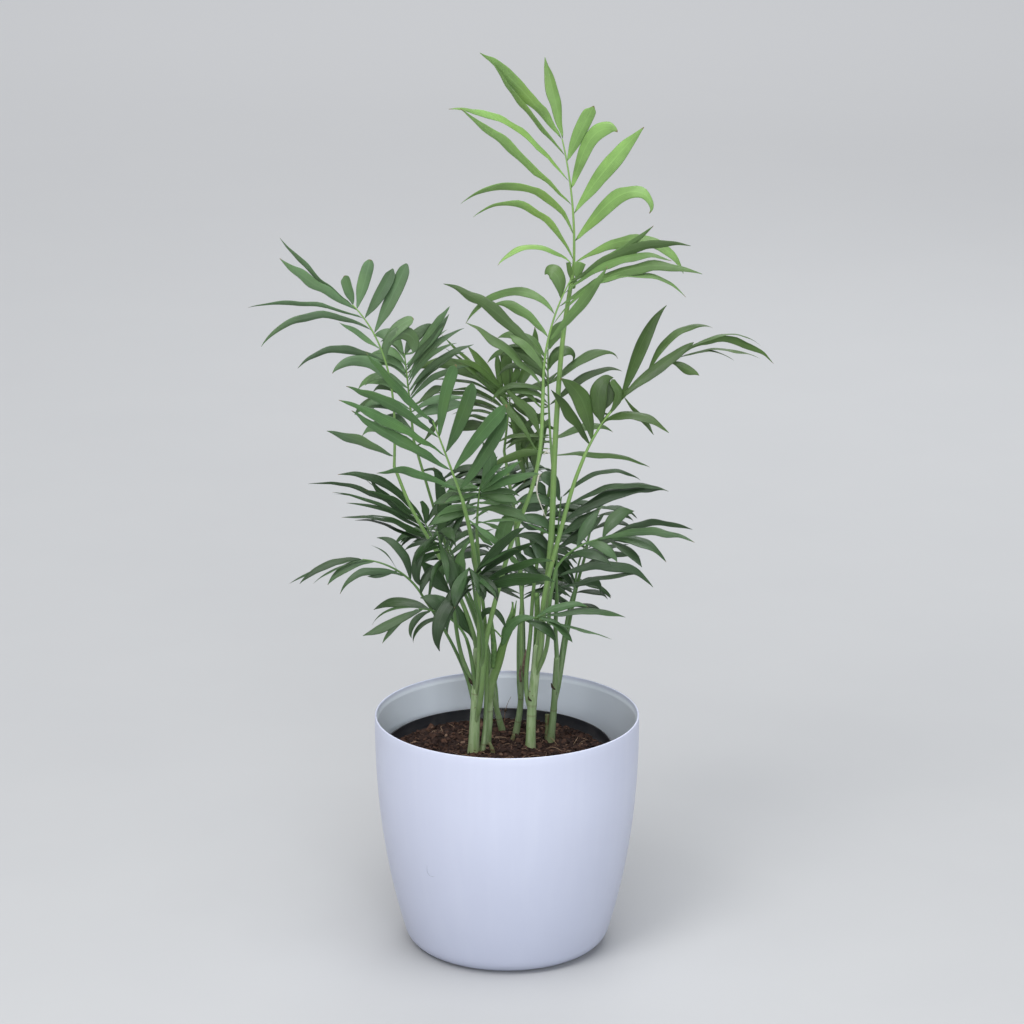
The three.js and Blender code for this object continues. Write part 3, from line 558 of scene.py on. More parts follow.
def makeChipTree():
    g = Shape("chips over the soil", {"Smallest": 0.6, "Largest": 2.4, "Flatness": 0.45, "Seed": 1})
    given = g.given
    chip = g.geo("MeshIcoSphere", {"Radius": mm, "Subdivisions": 1})
    dentScale, dentDepth = soil["chipDents"]
    noise = g.add("ShaderNodeTexNoise", {"Scale": dentScale, "Detail": 1}).outputs["Color"]
    push = g.add("ShaderNodeVectorMath", {0: noise, 1: (0.5, 0.5, 0.5)}, operation="SUBTRACT").outputs[0]
    push = g.add("ShaderNodeVectorMath", {0: push, "Scale": dentDepth}, operation="SCALE").outputs[0]
    rough = g.geo("SetPosition", {"Geometry": chip, "Offset": push})

    def chance(step, low, high, kind="FLOAT"):  # a number of its own for each chip
        first, made = (2, 1) if kind == "FLOAT" else (0, 0)
        seed = g.calc("ADD", given["Seed"], step)
        inputs = {first: low, first + 1: high, "Seed": seed}
        return g.add("FunctionNodeRandomValue", inputs, data_type=kind).outputs[made]

    tone, size = chance(0, 0, 1), chance(1, given["Smallest"], given["Largest"])
    long, turn = chance(2, *soil["chipStretch"]), chance(3, *soil["chipTurn"], "FLOAT_VECTOR")
    scale = g.add("ShaderNodeCombineXYZ", {
        0: g.times(size, long), 1: size, 2: g.times(size, given["Flatness"])}).outputs[0]
    toned = g.geo("StoreNamedAttribute", {"Geometry": given["Geometry"], "Name": "tone", "Value": tone})
    return g.done(g.geo("InstanceOnPoints", {
        "Points": toned, "Instance": rough, "Rotation": turn, "Scale": scale}))


def makeChips():
    pick = random.Random(soil["seed"])
    side, spots = soil["chipSquare"], []
    while len(spots) < soil["chips"]:
        x, y = pick.uniform(-side, side), pick.uniform(-side, side)
        if math.hypot(x, y) < soil["chipReach"]:
            spots.append(onSoil(x, y, pick.uniform(*soil["chipLift"])))
    return runTree(newObject("soil_chips", newMesh("soil_chips", spots)), makeChipTree(), {
        **soil["chipSizes"], "Seed": soil["seed"], "Material": makeSoilMaterial("coco chips", True)})


def makeFibres():
    m = Finish("root fibre", 0.8, 0.2)
    material = m.done(m.mix(m.pattern(*soil["fibreCloud"]), *soil["fibre"]))
    pick = random.Random(soil["seed"] + 1)
    side, count, lines = soil["fibreSquare"], soil["fibrePoints"], []
    swell = np.sqrt(np.abs(np.sin(np.linspace(0, 1, count) * math.pi)))
    for _ in range(soil["fibres"]):
        x, y = pick.uniform(-side, side), pick.uniform(-side, side)
        if math.hypot(x, y) > soil["fibreReach"]:
            continue
        length = pick.uniform(*soil["fibreLength"])
        points = bendLine(
            np.array(onSoil(x, y, 0.2)), pick.uniform(0, 360), pick.uniform(*soil["fibreRise"]),
            pick.uniform(*soil["fibreFall"]), length, 1, count - 1, pick.uniform(*soil["fibreSway"]))
        lines.append({"points": points, "halfWidth": pick.uniform(*soil["fibreWidth"]) * mm * swell})
    return runTree(lineObject("soil_fibres", lines), limbTree, {
        "Sides": soil["fibreSides"], "Material": material})


keep(makeSoil(), "soil", "soil")
keep(makeChips(), "soil")
keep(makeFibres(), "soil")
print("palm: soil")


# canes

canes = {  # name: the way from the soil to the fork, the widths, and where the rings are
    "left": ([(-23, -2, 135), (-21, -5, 180), (-20, -6, 211)], (7.6, 6.6, 5.8), (0.6,)),
    "centre": ([(-14, 14, 135), (-12, 9, 160), (-12, 4, 183)], (5.4, 4.8, 4.4), (0.6,)),
    "thin": ([(-17, 1, 135), (-15, 2, 152), (-14, 1, 179)], (3.8, 3, 2.8), (0.15,)),
    "back_left": ([(-3, 42, 135), (-7, 34, 154), (-12, 25, 179)], (4.6, 3.8, 3.4), (0.3,)),
    "back": ([(6, 37, 135), (9, 34, 156), (10, 32, 181)], (4.6, 4, 3.6), (0.25, 0.62)),
    "right": ([(16, 8, 135), (17, 8, 165), (21, 5, 209)], (6.6, 6.3, 6), (0.34, 0.44)),
    "far_right": ([(30, 22, 135), (32, 20, 160), (34, 17, 197)], (5.2, 4.4, 4), (0.4,)),
}
caneLook = {
    "green": (0.245, 0.375, 0.15), "pale": (0.48, 0.59, 0.35), "brown": (0.11, 0.055, 0.03),
    "streak": (420, 4, 0.55, 0.35, 0.7), "drawnOut": 0.16,
    "bloom": (90, 3, 0.55, 0.4, 0.75, 0, 0.45), "bloomColour": (0.28, 0.41, 0.21),
    "spots": (430, 2, 0.55, 0.68, 0.74, 0, 0.8),
    # painted shade: the dark green below, and how much of it each cane standing in shade takes
    "deep": (0.06, 0.125, 0.04), "paintedShadeShare": {"far_right": 0.5, "back_left": 0.3, "back": 0.15, "thin": 0.15},
    "flare": 1.2, "flareHeight": 5,  # how much wider the foot is than the cane above it
    "old": (0.24, 0.22, 0.12), "oldShare": 0.6, "oldHeight": 4,  # the foot's colour
    "ringBulge": 0.04, "ringHeight": 1.6, "ringLine": 0.4, "ringDark": 0.6,  # heights, then a share
    "dome": [(0.9, 0.6), (0.6, 1.1), (0.0, 1.3)],  # width and lift of the closed upper end
    "points": 90, "sides": 18,
}


def caneStreak(m):
    streak = m.pattern(*caneLook["streak"], place=m.upright(caneLook["drawnOut"]))
    return streak, m.mix(streak, caneLook["green"], caneLook["pale"])


def makeCaneMaterial():
    look = caneLook
    m = Finish("green cane", 0.42, 0.4)
    streak, colour = caneStreak(m)
    colour = m.layers(
        colour, (m.pattern(*look["bloom"]), look["bloomColour"]), (m.pattern(*look["spots"]), look["brown"]),
        # painted shade comes first on the next line; the rings are the cane's own
        (m.carried("paintedShadeShare"), look["deep"]), (m.carried("ring"), look["brown"]),
        (m.carried("old"), look["old"]))
    return m.done(colour, (streak, 0.25, 0.0004))


def makeCane(name, through, width, rings, material):
    look = caneLook
    points = caneLines[name] = smoothLine(through, look["points"])
    share = np.linspace(0, 1, look["points"])
    length = np.linalg.norm(np.diff(points, axis=0), axis=1).sum()
    half = halfWidths(width, look["points"])
    half *= 1 + (look["flare"] - 1) * np.exp(-share * length / look["flareHeight"])
    ring, old = np.zeros_like(share), look["oldShare"] * np.exp(-share * length / look["oldHeight"])
    for place in rings:
        half *= 1 + look["ringBulge"] * np.exp(-(((share - place) * length) / look["ringHeight"]) ** 2)
        thin = np.exp(-(((share - place) * length + 0.5) / look["ringLine"]) ** 2)
        ring = np.maximum(ring, look["ringDark"] * thin)
    half[0] = 0
    points = np.vstack([points[0], points[0] + (0, 0, 0.02), points[1:]])
    half = np.insert(half, 1, half[1])
    ring, old = np.insert(ring, 0, 0), np.insert(old, 0, old[0])
    end, top = points[-1], unit(points[-1] - points[-2])
    points = np.vstack([points, [end + top * lift * half[-1] for _, lift in look["dome"]]])
    half = np.concatenate([half, [half[-1] * size for size, _ in look["dome"]]])
    ring, old = np.append(ring, [0] * 3), np.append(old, [0] * 3)
    line = {"points": points, "halfWidth": half * mm, "ring": ring, "old": old,
            # how much painted shade this cane takes
            "paintedShadeShare": np.full(len(points), look["paintedShadeShare"].get(name, 0))}
    return runTree(lineObject("shaft_" + name, [line]), limbTree, {
        "Sides": look["sides"], "Material": material})


caneMaterial = makeCaneMaterial()
caneLines = {}  # where each cane runs, so that stalks can start inside it
for name, shape in canes.items():
    keep(makeCane(name, *shape, caneMaterial), "cane", "cane_" + name)
print("palm: canes")


# fronds

# lists run from foot to tip: "at" is where each leaflet leaves the rib, "late" is how late it bends,
# "both" holds what the two sides share, and rise and fall are slopes at the start and the end in degrees
fronds = [
    dict(name="crown", petiole=[[21, 5, 208], [26, 6, 243], [30, 9, 290], [32, 9, 347], [37, 8, 423]],
         stem=[4.6, 4, 2.8], foot=[44, 8, 472], bearing=150, rise=[93, 75], reach=86, faces=[0, -1, 0.35],
         leafWidth=11.5,
         left=dict(bearing=200, at=[0.02, 0.06, 0.26, 0.49, 0.67, 0.87, 1],
             length=[61, 90, 97, 104, 103, 82, 83], rise=[44, 66, 72, 44, 54, 48, 54],
             fall=[-57, -36, -35, 38, 0, 58, 36], width=[0.4, 0.4, 0.42, 0.5, 0.45, 0.3, 0.75],
             late=[1.5, 1.5, 1, 1.5, 1.5, 1.5, 1.5]),
         right=dict(bearing=-20, at=[0.04, 0.21, 0.42, 0.62, 0.83, 1], length=[89, 78, 78, 58, 42, 55],
             rise=[34, 51, 60, 72, 67, 102], fall=[-75, -135, 46, -43, 60, 105],
             width=[0.7, 0.95, 1, 0.8, 0.8, 0.72], late=[2, 4, 0.7, 4, 1.5, 1.5])),
    dict(name="second", petiole=[[-18, -13, 178], [-14, -18, 221], [-6, -22, 258], [4, -23, 295],
         [17, -22, 331], [22, -20, 356]], stem=[3.7, 3.1, 2.4], foot=[24, -14, 396], bearing=10,
         rise=[91, 61], reach=75, faces=[0, -1, 0.5], leafWidth=10,
         left=dict(bearing=160, at=[0.02, 0.16, 0.25, 0.46, 0.67, 0.82], length=[67, 34, 86, 46, 78, 26],
             rise=[45, 70, 47, 51, 69, 88], fall=[21, 3, 12, -13, -65, -74],
             width=[0.65, 1.1, 0.75, 0.6, 0.75, 1], late=[1.5, 1.5, 1.5, 1.5, 0.7, 3]),
         right=dict(bearing=-20, at=[0.42, 0.57, 0.74, 0.87, 0.96, 1], length=[68, 110, 108, 83, 92, 70],
             rise=[48, 56, 40, 44, 39, 31], fall=[60, -46, -18, -15, -6, 43],
             width=[0.7, 0.45, 0.75, 0.6, 0.65, 0.5])),
    dict(name="right", petiole=[[23, 1, 212], [25, 0, 245], [35, 1, 289], [45, 3, 326]],
         stem=[4.2, 3.4, 2.4], foot=[52, 4, 345], bearing=15, rise=[66, 22], reach=94,
         faces=[-0.2, -0.9, 0.9], leafWidth=11.5,
         left=dict(bearing=25, at=[0.08, 0.11, 0.24, 0.45, 0.71, 0.92, 1],
             length=[51, 54, 39, 73, 66, 74, 79], rise=[120, 99, 101, 68, 69, 34, 43],
             fall=[133, 154, -12, 34, -30, -44, -47], width=[0.7, 1.05, 1.1, 0.88, 0.7, 0.35, 0.3],
             late=[1.5, 2, 3, 4, 1.5, 1.5, 0.7]),
         right=dict(bearing=-20, at=[0.21, 0.5, 0.91, 0.96, 1], length=[56, 32, 22, 43, 57],
             rise=[69, -48, -14, 28, 22], fall=[-44, -50, -29, -34, -24], width=[0.75, 0.3, 0.5, 0.3, 0.35],
             late=[0.7, 1.5, 1.5, 1.5, 1.5])),
    dict(name="inner", petiole=[[13, 12, 180], [16, 17, 216], [18, 22, 245], [24, 26, 286]],
         stem=[3.2, 2.6, 2.2], foot=[31, 28, 328], bearing=100, rise=[61, 91], reach=82,
         faces=[0, -0.9, 0.6], leafWidth=10,
         left=dict(bearing=168, at=[0.14, 0.27, 0.43, 0.55, 0.75, 0.92], length=[50, 38, 43, 48, 52, 43],
             rise=[1, 12, -63, 45, 59, 61], fall=[-56, -39, -104, -74, -59, -43],
             width=[0.5, 0.5, 0.85, 0.75, 0.7, 0.7]),
         right=dict(bearing=12, at=[0.12, 0.26, 0.54, 0.71, 0.83, 1], length=[71, 46, 58, 57, 34, 25],
             rise=[4, 21, 39, 37, 76, 71], fall=[-32, -53, -30, -70, -146, 43],
             width=[0.5, 0.7, 0.7, 0.75, 1, 0.9], late=[1.5, 3, 3, 4, 2, 1.5])),
    dict(name="left", petiole=[[-20, -6, 209], [-28, -8, 240], [-44, -8, 275], [-64, -7, 312]],
         stem=[3.5, 2.7, 2.1], foot=[-75, -6, 340], bearing=170, rise=[92, 44], late=2, reach=116,
         faces=[0.1, -1, 0.5], leafWidth=10.5,
         left=dict(bearing=195, at=[0.06, 0.49, 0.62, 0.7, 0.82, 0.9, 0.96, 1],
             length=[50, 49, 64, 34, 82, 79, 64, 68], rise=[30, 60, 30, 39, 28, 21, 33, 38],
             fall=[16, -58, -47, 30, -56, -10, 42, 56],
             width=[0.6, 0.75, 0.45, 0.4, 0.45, 0.25, 0.6, 0.25]),
         right=dict(bearing=15, at=[0.62, 0.7, 0.8, 0.9, 0.97, 1], length=[44, 30, 51, 38, 34, 21],
             rise=[100, 60, 62, 56, 74, 104], fall=[-130, 13, 66, 64, 74, 108],
             width=[0.7, 0.8, 0.9, 0.8, 0.8, 0.75])),
    dict(name="front", petiole=[[-19, -13, 198], [-19, -24, 251], [-23, -42, 299]], stem=[3.7, 3.3, 2.6],
         foot=[-29, -52, 330], bearing=200, rise=[71, 69], reach=59, faces=[0, -1, 0.7], leafWidth=10.5,
         left=dict(bearing=215, at=[0.12, 0.38, 0.55, 0.79, 1], length=[68, 92, 97, 85, 73],
             rise=[32, 33, 38, 40, 45], fall=[0, 36, 22, 21, 49], width=[0.45, 0.7, 0.75, 0.65, 0.75]),
         right=dict(bearing=-35, at=[0.12, 0.36, 0.6, 0.8], length=[69, 67, 55, 53], rise=[55, 55, 62, 86],
             fall=[60, 43, 73, 58], width=[0.9, 1, 0.95, 0.8])),
    dict(name="mid_left", petiole=[[-12, 24, 180], [-16, 22, 202], [-25, 20, 235]], stem=[3, 2.6, 2],
         foot=[-40, 18, 262], bearing=165, rise=[59, 66], reach=34, faces=[0, -0.7, 1], leafWidth=9,
         left=dict(bearing=190, at=[0.55, 0.72, 0.84, 0.94, 1], length=[58, 64, 92, 53, 74],
             rise=[25, 28, 43, 33, 58], fall=[-3, -4, -4, 58, -7], width=[0.6, 0.6, 0.25, 0.5, 0.6],
             late=[4, 1.5, 1.5, 1.5, 1.5]),
         right=dict(bearing=30, length=[44, 61, 50, 44], rise=[30, 81, 49, 55], fall=[-60, 113, -40, -30],
             width=[1, 0.9, 1, 1])),
    dict(name="low_left", petiole=[[-26, -4, 187], [-35, -8, 212], [-46, -11, 234]], stem=[2.6, 2.2, 1.8],
         foot=[-56, -14, 251], bearing=185, rise=[63, 6], reach=51, faces=[0, -0.6, 1], leafWidth=8,
         left=dict(bearing=195, at=[0.38, 0.5, 0.83, 0.92, 1], length=[52, 21, 37, 41, 47],
             rise=[27, -6, -1, -5, 4], fall=[-70, -6, -57, -42, -50], width=[0.5, 0.3, 0.7, 0.45, 0.6]),
         right=dict(bearing=160, at=[0.28, 0.5, 1], length=[42, 26, 59], rise=[87, 60, -12],
             fall=[-9, 10, -40], width=[0.9, 0.25, 0.6])),
    dict(name="foot_left", petiole=[[-23, -12, 200], [-25, -16, 214]], stem=[2.8, 2.2],
         foot=[-27, -22, 224], bearing=190, rise=[69, 3], reach=42, faces=[0.1, -0.7, 1], leafWidth=10,
         left=dict(bearing=200, at=[0.5, 0.79, 0.92, 1], length=[34, 26, 45, 34], rise=[10, -14, -17, -25],
             fall=[-100, -111, -20, -62], width=[0.6, 0.4, 0.8, 0.35]),
         right=dict(bearing=165, at=[0.25, 0.46, 0.79, 0.9], length=[30, 26, 43, 43], rise=[70, 62, 21, 9],
             fall=[10, -13, -43, -68], width=[1, 1, 0.9, 0.4])),
    dict(name="mid_right", petiole=[[34, 17, 196], [33, 17, 218]], stem=[3, 2.8], foot=[34, 18, 242],
         bearing=60, rise=[95, 76], reach=69, faces=[0.2, -0.9, 0.7], leafWidth=10,
         left=dict(bearing=172, at=[0.1, 0.18, 0.35, 0.59, 0.84, 0.96], length=[42, 33, 39, 37, 32, 25],
             rise=[33, 67, 73, 64, 69, 76], fall=[46, 39, -37, -44, -43, -4],
             width=[0.8, 1.2, 0.9, 0.9, 0.9, 1.1], late=[0.7, 1.5, 1.5, 1.5, 1, 2.5]),
         right=dict(bearing=5, at=[0.08, 0.2, 0.36, 0.5, 0.62, 0.72, 0.88, 1],
             length=[55, 72, 50, 40, 34, 78, 78, 61], rise=[17, 23, 18, 31, 32, 37, 32, 46],
             fall=[-3, -55, 4, 45, 36, -12, -27, -43], width=[0.55, 0.7, 0.6, 0.9, 0.8, 1, 0.6, 0.55])),
    dict(name="low_right", petiole=[[27, -5, 214], [29, -6, 246]], stem=[3, 2.4], foot=[33, -6, 269],
         bearing=-4, rise=[60, 4], reach=43, faces=[0, -0.8, 1], leafWidth=9.5,
         left=dict(bearing=25, at=[0.46, 0.9, 0.97], length=[30, 32, 67], rise=[68, 70, 31],
             fall=[35, -18, -25], width=[0.9, 1, 0.5], late=[1.5, 1.5, 0.7]),
         right=dict(bearing=-25, at=[0.3, 0.6, 0.79, 0.95, 1], length=[34, 28, 73, 32, 46],
             rise=[20, 8, 22, -16, 12], fall=[-50, -66, -19, -58, -58], width=[0.9, 0.8, 0.6, 0.8, 1])),
    dict(name="back_centre", petiole=[[10, 33, 180], [10, 40, 211], [10, 50, 239], [7, 60, 275]],
         stem=[3.2, 2.6, 2], foot=[-2, 72, 329], bearing=120, rise=[102, 101], reach=41,
         faces=[0, -0.9, 0.6], leafWidth=10,
         left=dict(bearing=178, at=[0.35, 0.62, 0.75, 0.8, 0.85, 0.88, 0.93, 1],
             length=[40, 49, 56, 52, 60, 67, 80, 36], rise=[24, 32, 34, 61, 39, 53, 48, 82],
             fall=[-40, -23, -24, 43, -17, 42, -35, 100],
             width=[0.8, 0.35, 0.35, 0.9, 0.3, 0.35, 0.8, 0.85],
             late=[1.5, 1.5, 1.5, 4, 1.5, 0.7, 1.5, 1.5]),
         right=dict(bearing=25, at=[0.5, 0.8, 0.9, 1], length=[44, 56, 46, 52], rise=[-35, -72, -58, 52],
             fall=[-100, -88, -61, 95], width=[0.8, 0.65, 0.95, 0.9], late=[1.5, 1.5, 4, 1.5])),
    dict(name="back_left", petiole=[[-11, 33, 180], [-22, 36, 219], [-42, 38, 272], [-52, 36, 307]],
         stem=[2.8, 2.2, 1.8], foot=[-63, 34, 347], bearing=150, rise=[84, 83], reach=60,
         faces=[0, -1, 0.6], leafWidth=9.5,
         left=dict(bearing=165, length=[40, 46, 42, 36, 28], rise=[30, 36, 44, 56, 70],
             fall=[-60, -70, -60, -40]),
         right=dict(bearing=15, at=[0.25, 0.5, 0.68, 0.84, 1], length=[44, 58, 54, 46, 28],
             rise=[30, 58, 61, 46, 65], fall=[-30, 6, 11, 56, 13], width=[0.9, 0.7, 0.6, 0.7, 0.8])),
    dict(name="drop_left", petiole=[[-30, -14, 208], [-35, -27, 243]], stem=[2.8, 2.4],
         foot=[-36, -38, 271], bearing=220, rise=[65, 76], reach=38, faces=[0, -1, 0.5], leafWidth=10,
         left=dict(bearing=230, at=[0.4, 0.7, 0.95], length=[34, 30, 46], rise=[0, 20, -15],
             fall=[-90, -60, -144], width=[0.7, 0.6, 0.75]),
         right=dict(bearing=-60, at=[0.3, 0.75, 1], length=[30, 44, 26], rise=[10, -38, 30],
             fall=[-70, -98, -50], width=[0.7, 0.95, 0.7])),
    dict(name="drop_front", petiole=[[-16, -22, 214], [-17, -32, 238]], stem=[2.8, 2.4],
         foot=[-21, -43, 258], bearing=255, rise=[72, 52], reach=31, faces=[0, -0.7, 1], leafWidth=10.5,
         left=dict(bearing=-45, at=[0.3, 0.6, 0.75, 1], length=[77, 68, 30, 26], rise=[28, 62, 5, -27],
             fall=[-1, 31, -80, -100], width=[1, 0.85, 0.75, 0.7], late=[1.5, 0.7, 1.5, 1.5]),
         right=dict(bearing=235, at=[0.35, 0.7, 1], length=[64, 34, 30], rise=[8, -10, -32],
             fall=[-120, -100, -90], width=[1, 0.8])),
    dict(name="mid_front", petiole=[[-14, 0, 177], [-14, -6, 219], [-18, -18, 268]], stem=[2.8, 2.6, 2.2],
         foot=[-20, -29, 302], bearing=280, rise=[79, 60], reach=36, faces=[0, -0.7, 1], leafWidth=9,
         left=dict(bearing=-10, at=[0.5, 0.8, 0.88, 0.94, 1], length=[36, 28, 43, 36, 25],
             rise=[10, 16, 31, 57, 67], fall=[-50, -52, 2, 133, 18], width=[0.9, 0.9, 0.9, 1.1, 0.8]),
         right=dict(bearing=190, at=[0.4, 0.8, 1], length=[34, 31, 26], rise=[10, 3, 20],
             fall=[-50, -25, -20])),
    dict(name="young", petiole=[[-11, 4, 182], [-6, 0, 200], [-2, -6, 216]], stem=[3.6, 6, 6, 3.4],
         foot=[3, -12, 229], bearing=-10, rise=[40, 10], reach=20, faces=[0, -0.7, 1], leafWidth=9,
         left=dict(bearing=5, at=[0.9, 1], length=[38, 60], rise=[33, 13], fall=[-23, -23],
             width=[0.5, 0.75]),
         right=dict(bearing=-15, at=[0.5, 0.75, 1], length=[28, 57, 30], rise=[-1, -4, -10],
             fall=[-80, -19, -70], width=[1.1, 0.4, 0.9])),
    dict(name="foot_right", petiole=[[37, 20, 192], [39, 24, 211], [42, 27, 228]], stem=[2.4, 2, 1.8],
         foot=[46, 30, 241], bearing=70, rise=[80, 20], reach=36, faces=[0, -0.6, 1], leafWidth=8,
         left=dict(bearing=165, length=[30, 36, 30], rise=[60, 45, 35], fall=[20, -20, -50]),
         right=dict(bearing=15, length=[26, 48, 46, 36], rise=[40, 34, 30], fall=[-110, 10, -40],
             width=[0.7, 0.9, 0.6, 0.6])),
    dict(name="back_right", petiole=[[36, 23, 180], [42, 38, 212], [48, 52, 238]], stem=[3, 2.6, 2],
         foot=[54, 66, 256], bearing=75, rise=[55, -20], reach=66, faces=[-0.2, -0.3, 1], leafWidth=10,
         both=dict(rise=[40, 30, 15, 0], fall=[-50, -60, -60]),
         left=dict(bearing=140, length=[44, 50, 50, 44, 36]),
         right=dict(bearing=10, length=[34, 34, 30, 28, 26])),
    dict(name="back_high", petiole=[[11, 38, 182], [11, 48, 216], [8, 62, 252]], stem=[3, 2.6, 2],
         foot=[5, 78, 278], bearing=100, rise=[58, -30], reach=76, faces=[0, -0.3, 1], leafWidth=10,
         both=dict(rise=[40, 30, 15, -10], fall=[-50, -60, -70]),
         left=dict(bearing=165, length=[46, 54, 56, 52, 46, 38]),
         right=dict(bearing=35, length=[40, 46, 48, 46, 42, 36])),
    dict(name="back_low", petiole=[[8, 42, 178], [8, 56, 200]], stem=[2.8, 2.2], foot=[10, 72, 218],
         bearing=85, rise=[45, -30], reach=62, faces=[0, -0.2, 1], leafWidth=10,
         both=dict(rise=[30, 20, 5, -15], fall=[-50, -60, -70]),
         left=dict(bearing=150, length=[42, 48, 48, 42, 36]),
         right=dict(bearing=20, length=[36, 42, 42, 38, 34])),
    dict(name="back_low_left", petiole=[[-9, 38, 176], [-16, 45, 206], [-25, 50, 230]], stem=[2.8, 2.4, 2],
         foot=[-34, 56, 248], bearing=115, rise=[54, -25], reach=64, faces=[0.1, -0.2, 1], leafWidth=9.5,
         both=dict(rise=[36, 26, 10, -10], fall=[-50, -60, -70]),
         left=dict(bearing=180, length=[30, 34, 34, 30, 28]),
         right=dict(bearing=55, length=[42, 50, 50, 44, 38])),
    dict(name="back_low_right", petiole=[[34, 27, 172], [38, 40, 198]], stem=[2.8, 2.2], foot=[42, 52, 218],
         bearing=75, rise=[48, -20], reach=48, faces=[-0.1, -0.2, 1], leafWidth=9.5,
         both=dict(rise=[34, 22, 5, -10], fall=[-50, -60, -70]),
         left=dict(bearing=125, length=[38, 44, 42, 36]),
         right=dict(bearing=-5, length=[24, 26, 26, 24])),
]

leafTints = {  # upper side, underside, colour slot
    "fresh": ((0.195, 0.35, 0.095), (0.26, 0.39, 0.165), "leaf_pale"),
    "soft": ((0.105, 0.195, 0.056), (0.19, 0.28, 0.12), "leaf_pale"),
    "grass": ((0.07, 0.132, 0.038), (0.14, 0.21, 0.09), "leaf_mid"),
    "grey": ((0.098, 0.18, 0.08), (0.17, 0.25, 0.14), "leaf_mid"),
    "teal": ((0.070, 0.152, 0.050), (0.14, 0.225, 0.115), "leaf_mid"),
    "moss": ((0.065, 0.126, 0.030), (0.14, 0.21, 0.09), "leaf_dark"),
    "dusk": ((0.046, 0.096, 0.036), (0.09, 0.155, 0.07), "leaf_dark"),
    # painted shade: the darkest tint, for the fronds inside the crown and at the back
    "deep": ((0.026, 0.066, 0.017), (0.06, 0.12, 0.05), "leaf_dark"),
}
tintOf = {  # all others get the darkest tint, painted shade
    "crown": "fresh", "second": "soft", "right": "moss", "inner": "grass", "left": "grey", "front": "teal",
    "mid_front": "teal", "young": "teal", "back_left": "grey", "back_centre": "moss",
    "low_left": "dusk", "foot_left": "dusk", "mid_right": "dusk", "low_right": "dusk",
}
leafLook = {
    "points": 26,  # along a leaflet
    "outline": ([0, 0.06, 0.15, 0.3, 0.45, 0.58, 0.72, 0.85, 0.94, 1],
                [0.14, 0.22, 0.42, 0.77, 0.97, 1, 0.84, 0.5, 0.22, 0]),
    "bluntOutline": ([0, 0.06, 0.15, 0.3, 0.45, 0.65, 0.82, 0.93, 1],
                     [0.14, 0.24, 0.44, 0.75, 0.93, 1, 0.95, 0.74, 0.42]),
    "blunt": {"crown": {"right": (3, 4)}, "left": {"right": range(6)}, "second": {"left": (1, 5)},
              "front": {"right": range(4)}, "mid_right": {"left": (4, 5)}},
    "bluntEnd": 0.1,  # the share of a blunt leaflet that its rounded end takes
    "slender": {"foot_left": 0.9, "drop_left": 0.9, "low_right": 0.95, "mid_right": 0.92},
    "crowded": 1.5,  # how much closer together the points lie towards the tip
    "roll": 12, "twist": 18, "sway": 3,  # degrees
    "late": 1.5,  # how late a leaflet bends, where its frond doesn't say
    "flatFrom": 0.95, "thinnest": 0.17,  # narrower than the first share, a leaflet is partly seen edge on
    "facesFrom": 0.4,  # where along it a leaflet faces exactly as its frond does
    "footHalf": 0.7,  # half its width where it leaves the rib
    "evenly": (0.07, 0.93),  # where the first leaves the rib and how far on the last, unless its frond says
    "fromRib": 0.4,  # from the rib's axis to where a leaflet starts
    "form": {"Crease": 0.2, "Pleats": 1.4, "Pleat depth": 0.06, "Thickness": 0.045, "Ripple": 0.0005},
    "roughness": 0.36, "roughEnds": (0.31, 0.44), "gloss": 0.42,
    "darkest": 0.58, "yellowed": (1.2, 1.12, 0.75), "toneSpread": 0.34, "evener": {"fresh": 0.2},
    "cloud": (38, 4, 0.6, 0.32, 0.66), "patch": (17, 2, 0.55, 0.5, 0.68, 0, 0.6),
    "veins": 19, "veinShare": 0.32, "midrib": 0.28,
    # the pale band along each leaflet's edge is a painted highlight of gloss
    "midribEdge": (0.03, 0.10, 1, 0), "paintedEdgeHighlight": (0.86, 1, 0, 0.35), "paleFoot": (0, 0.16, 0.6, 0),
    "dryTip": (0.965, 0.995), "dryTone": (0.5, 0.55), "dry": (0.20, 0.13, 0.06),
}
stalkLook = {
    "ribFoot": 1.9, "ribTip": 0.9, "ribEnd": 0.6,  # widths, and how far the rib goes on to its closed tip
    "sheath": 1.3, "sheathLength": 22,  # how a petiole widens where it leaves its cane
    "rooted": 24,  # how far down inside the cane it starts
    "wedge": 20, "wedgeFoot": 0.25, "wedgePower": 0.8,  # how far its start swells, and from what share
    "canePart": 34,  # how far up it still has the cane's colour
    # the third colour is the dark green of painted shade
    "foot": (0.255, 0.40, 0.125), "tip": (0.22, 0.385, 0.085), "deep": (0.05, 0.12, 0.035),
    "cloud": (120, 4, 0.55, 0.35, 0.7, 0, 0.5), "cloudColour": (0.17, 0.31, 0.10),
    # painted shade: how far each stalk is darkened at its foot and at its tip
    "shades": {"crown": (0.35, 0), "second": (0.5, 0), "right": (0.4, 0), "left": (0.6, 0.2),
               "front": (0.5, 0.2), "young": (0.1, 0.75), "low_left": (0.9, 0.7), "foot_left": (0.9, 0.8),
               "low_right": (0.65, 0.8), "mid_right": (0.8, 0.8)},
    "shade": 0.5, "deepShade": 0.8,  # the same painted shade for other fronds, and for those of the darkest tint
    "petiolePoints": 48, "ribPoints": 36, "sides": 12,
}


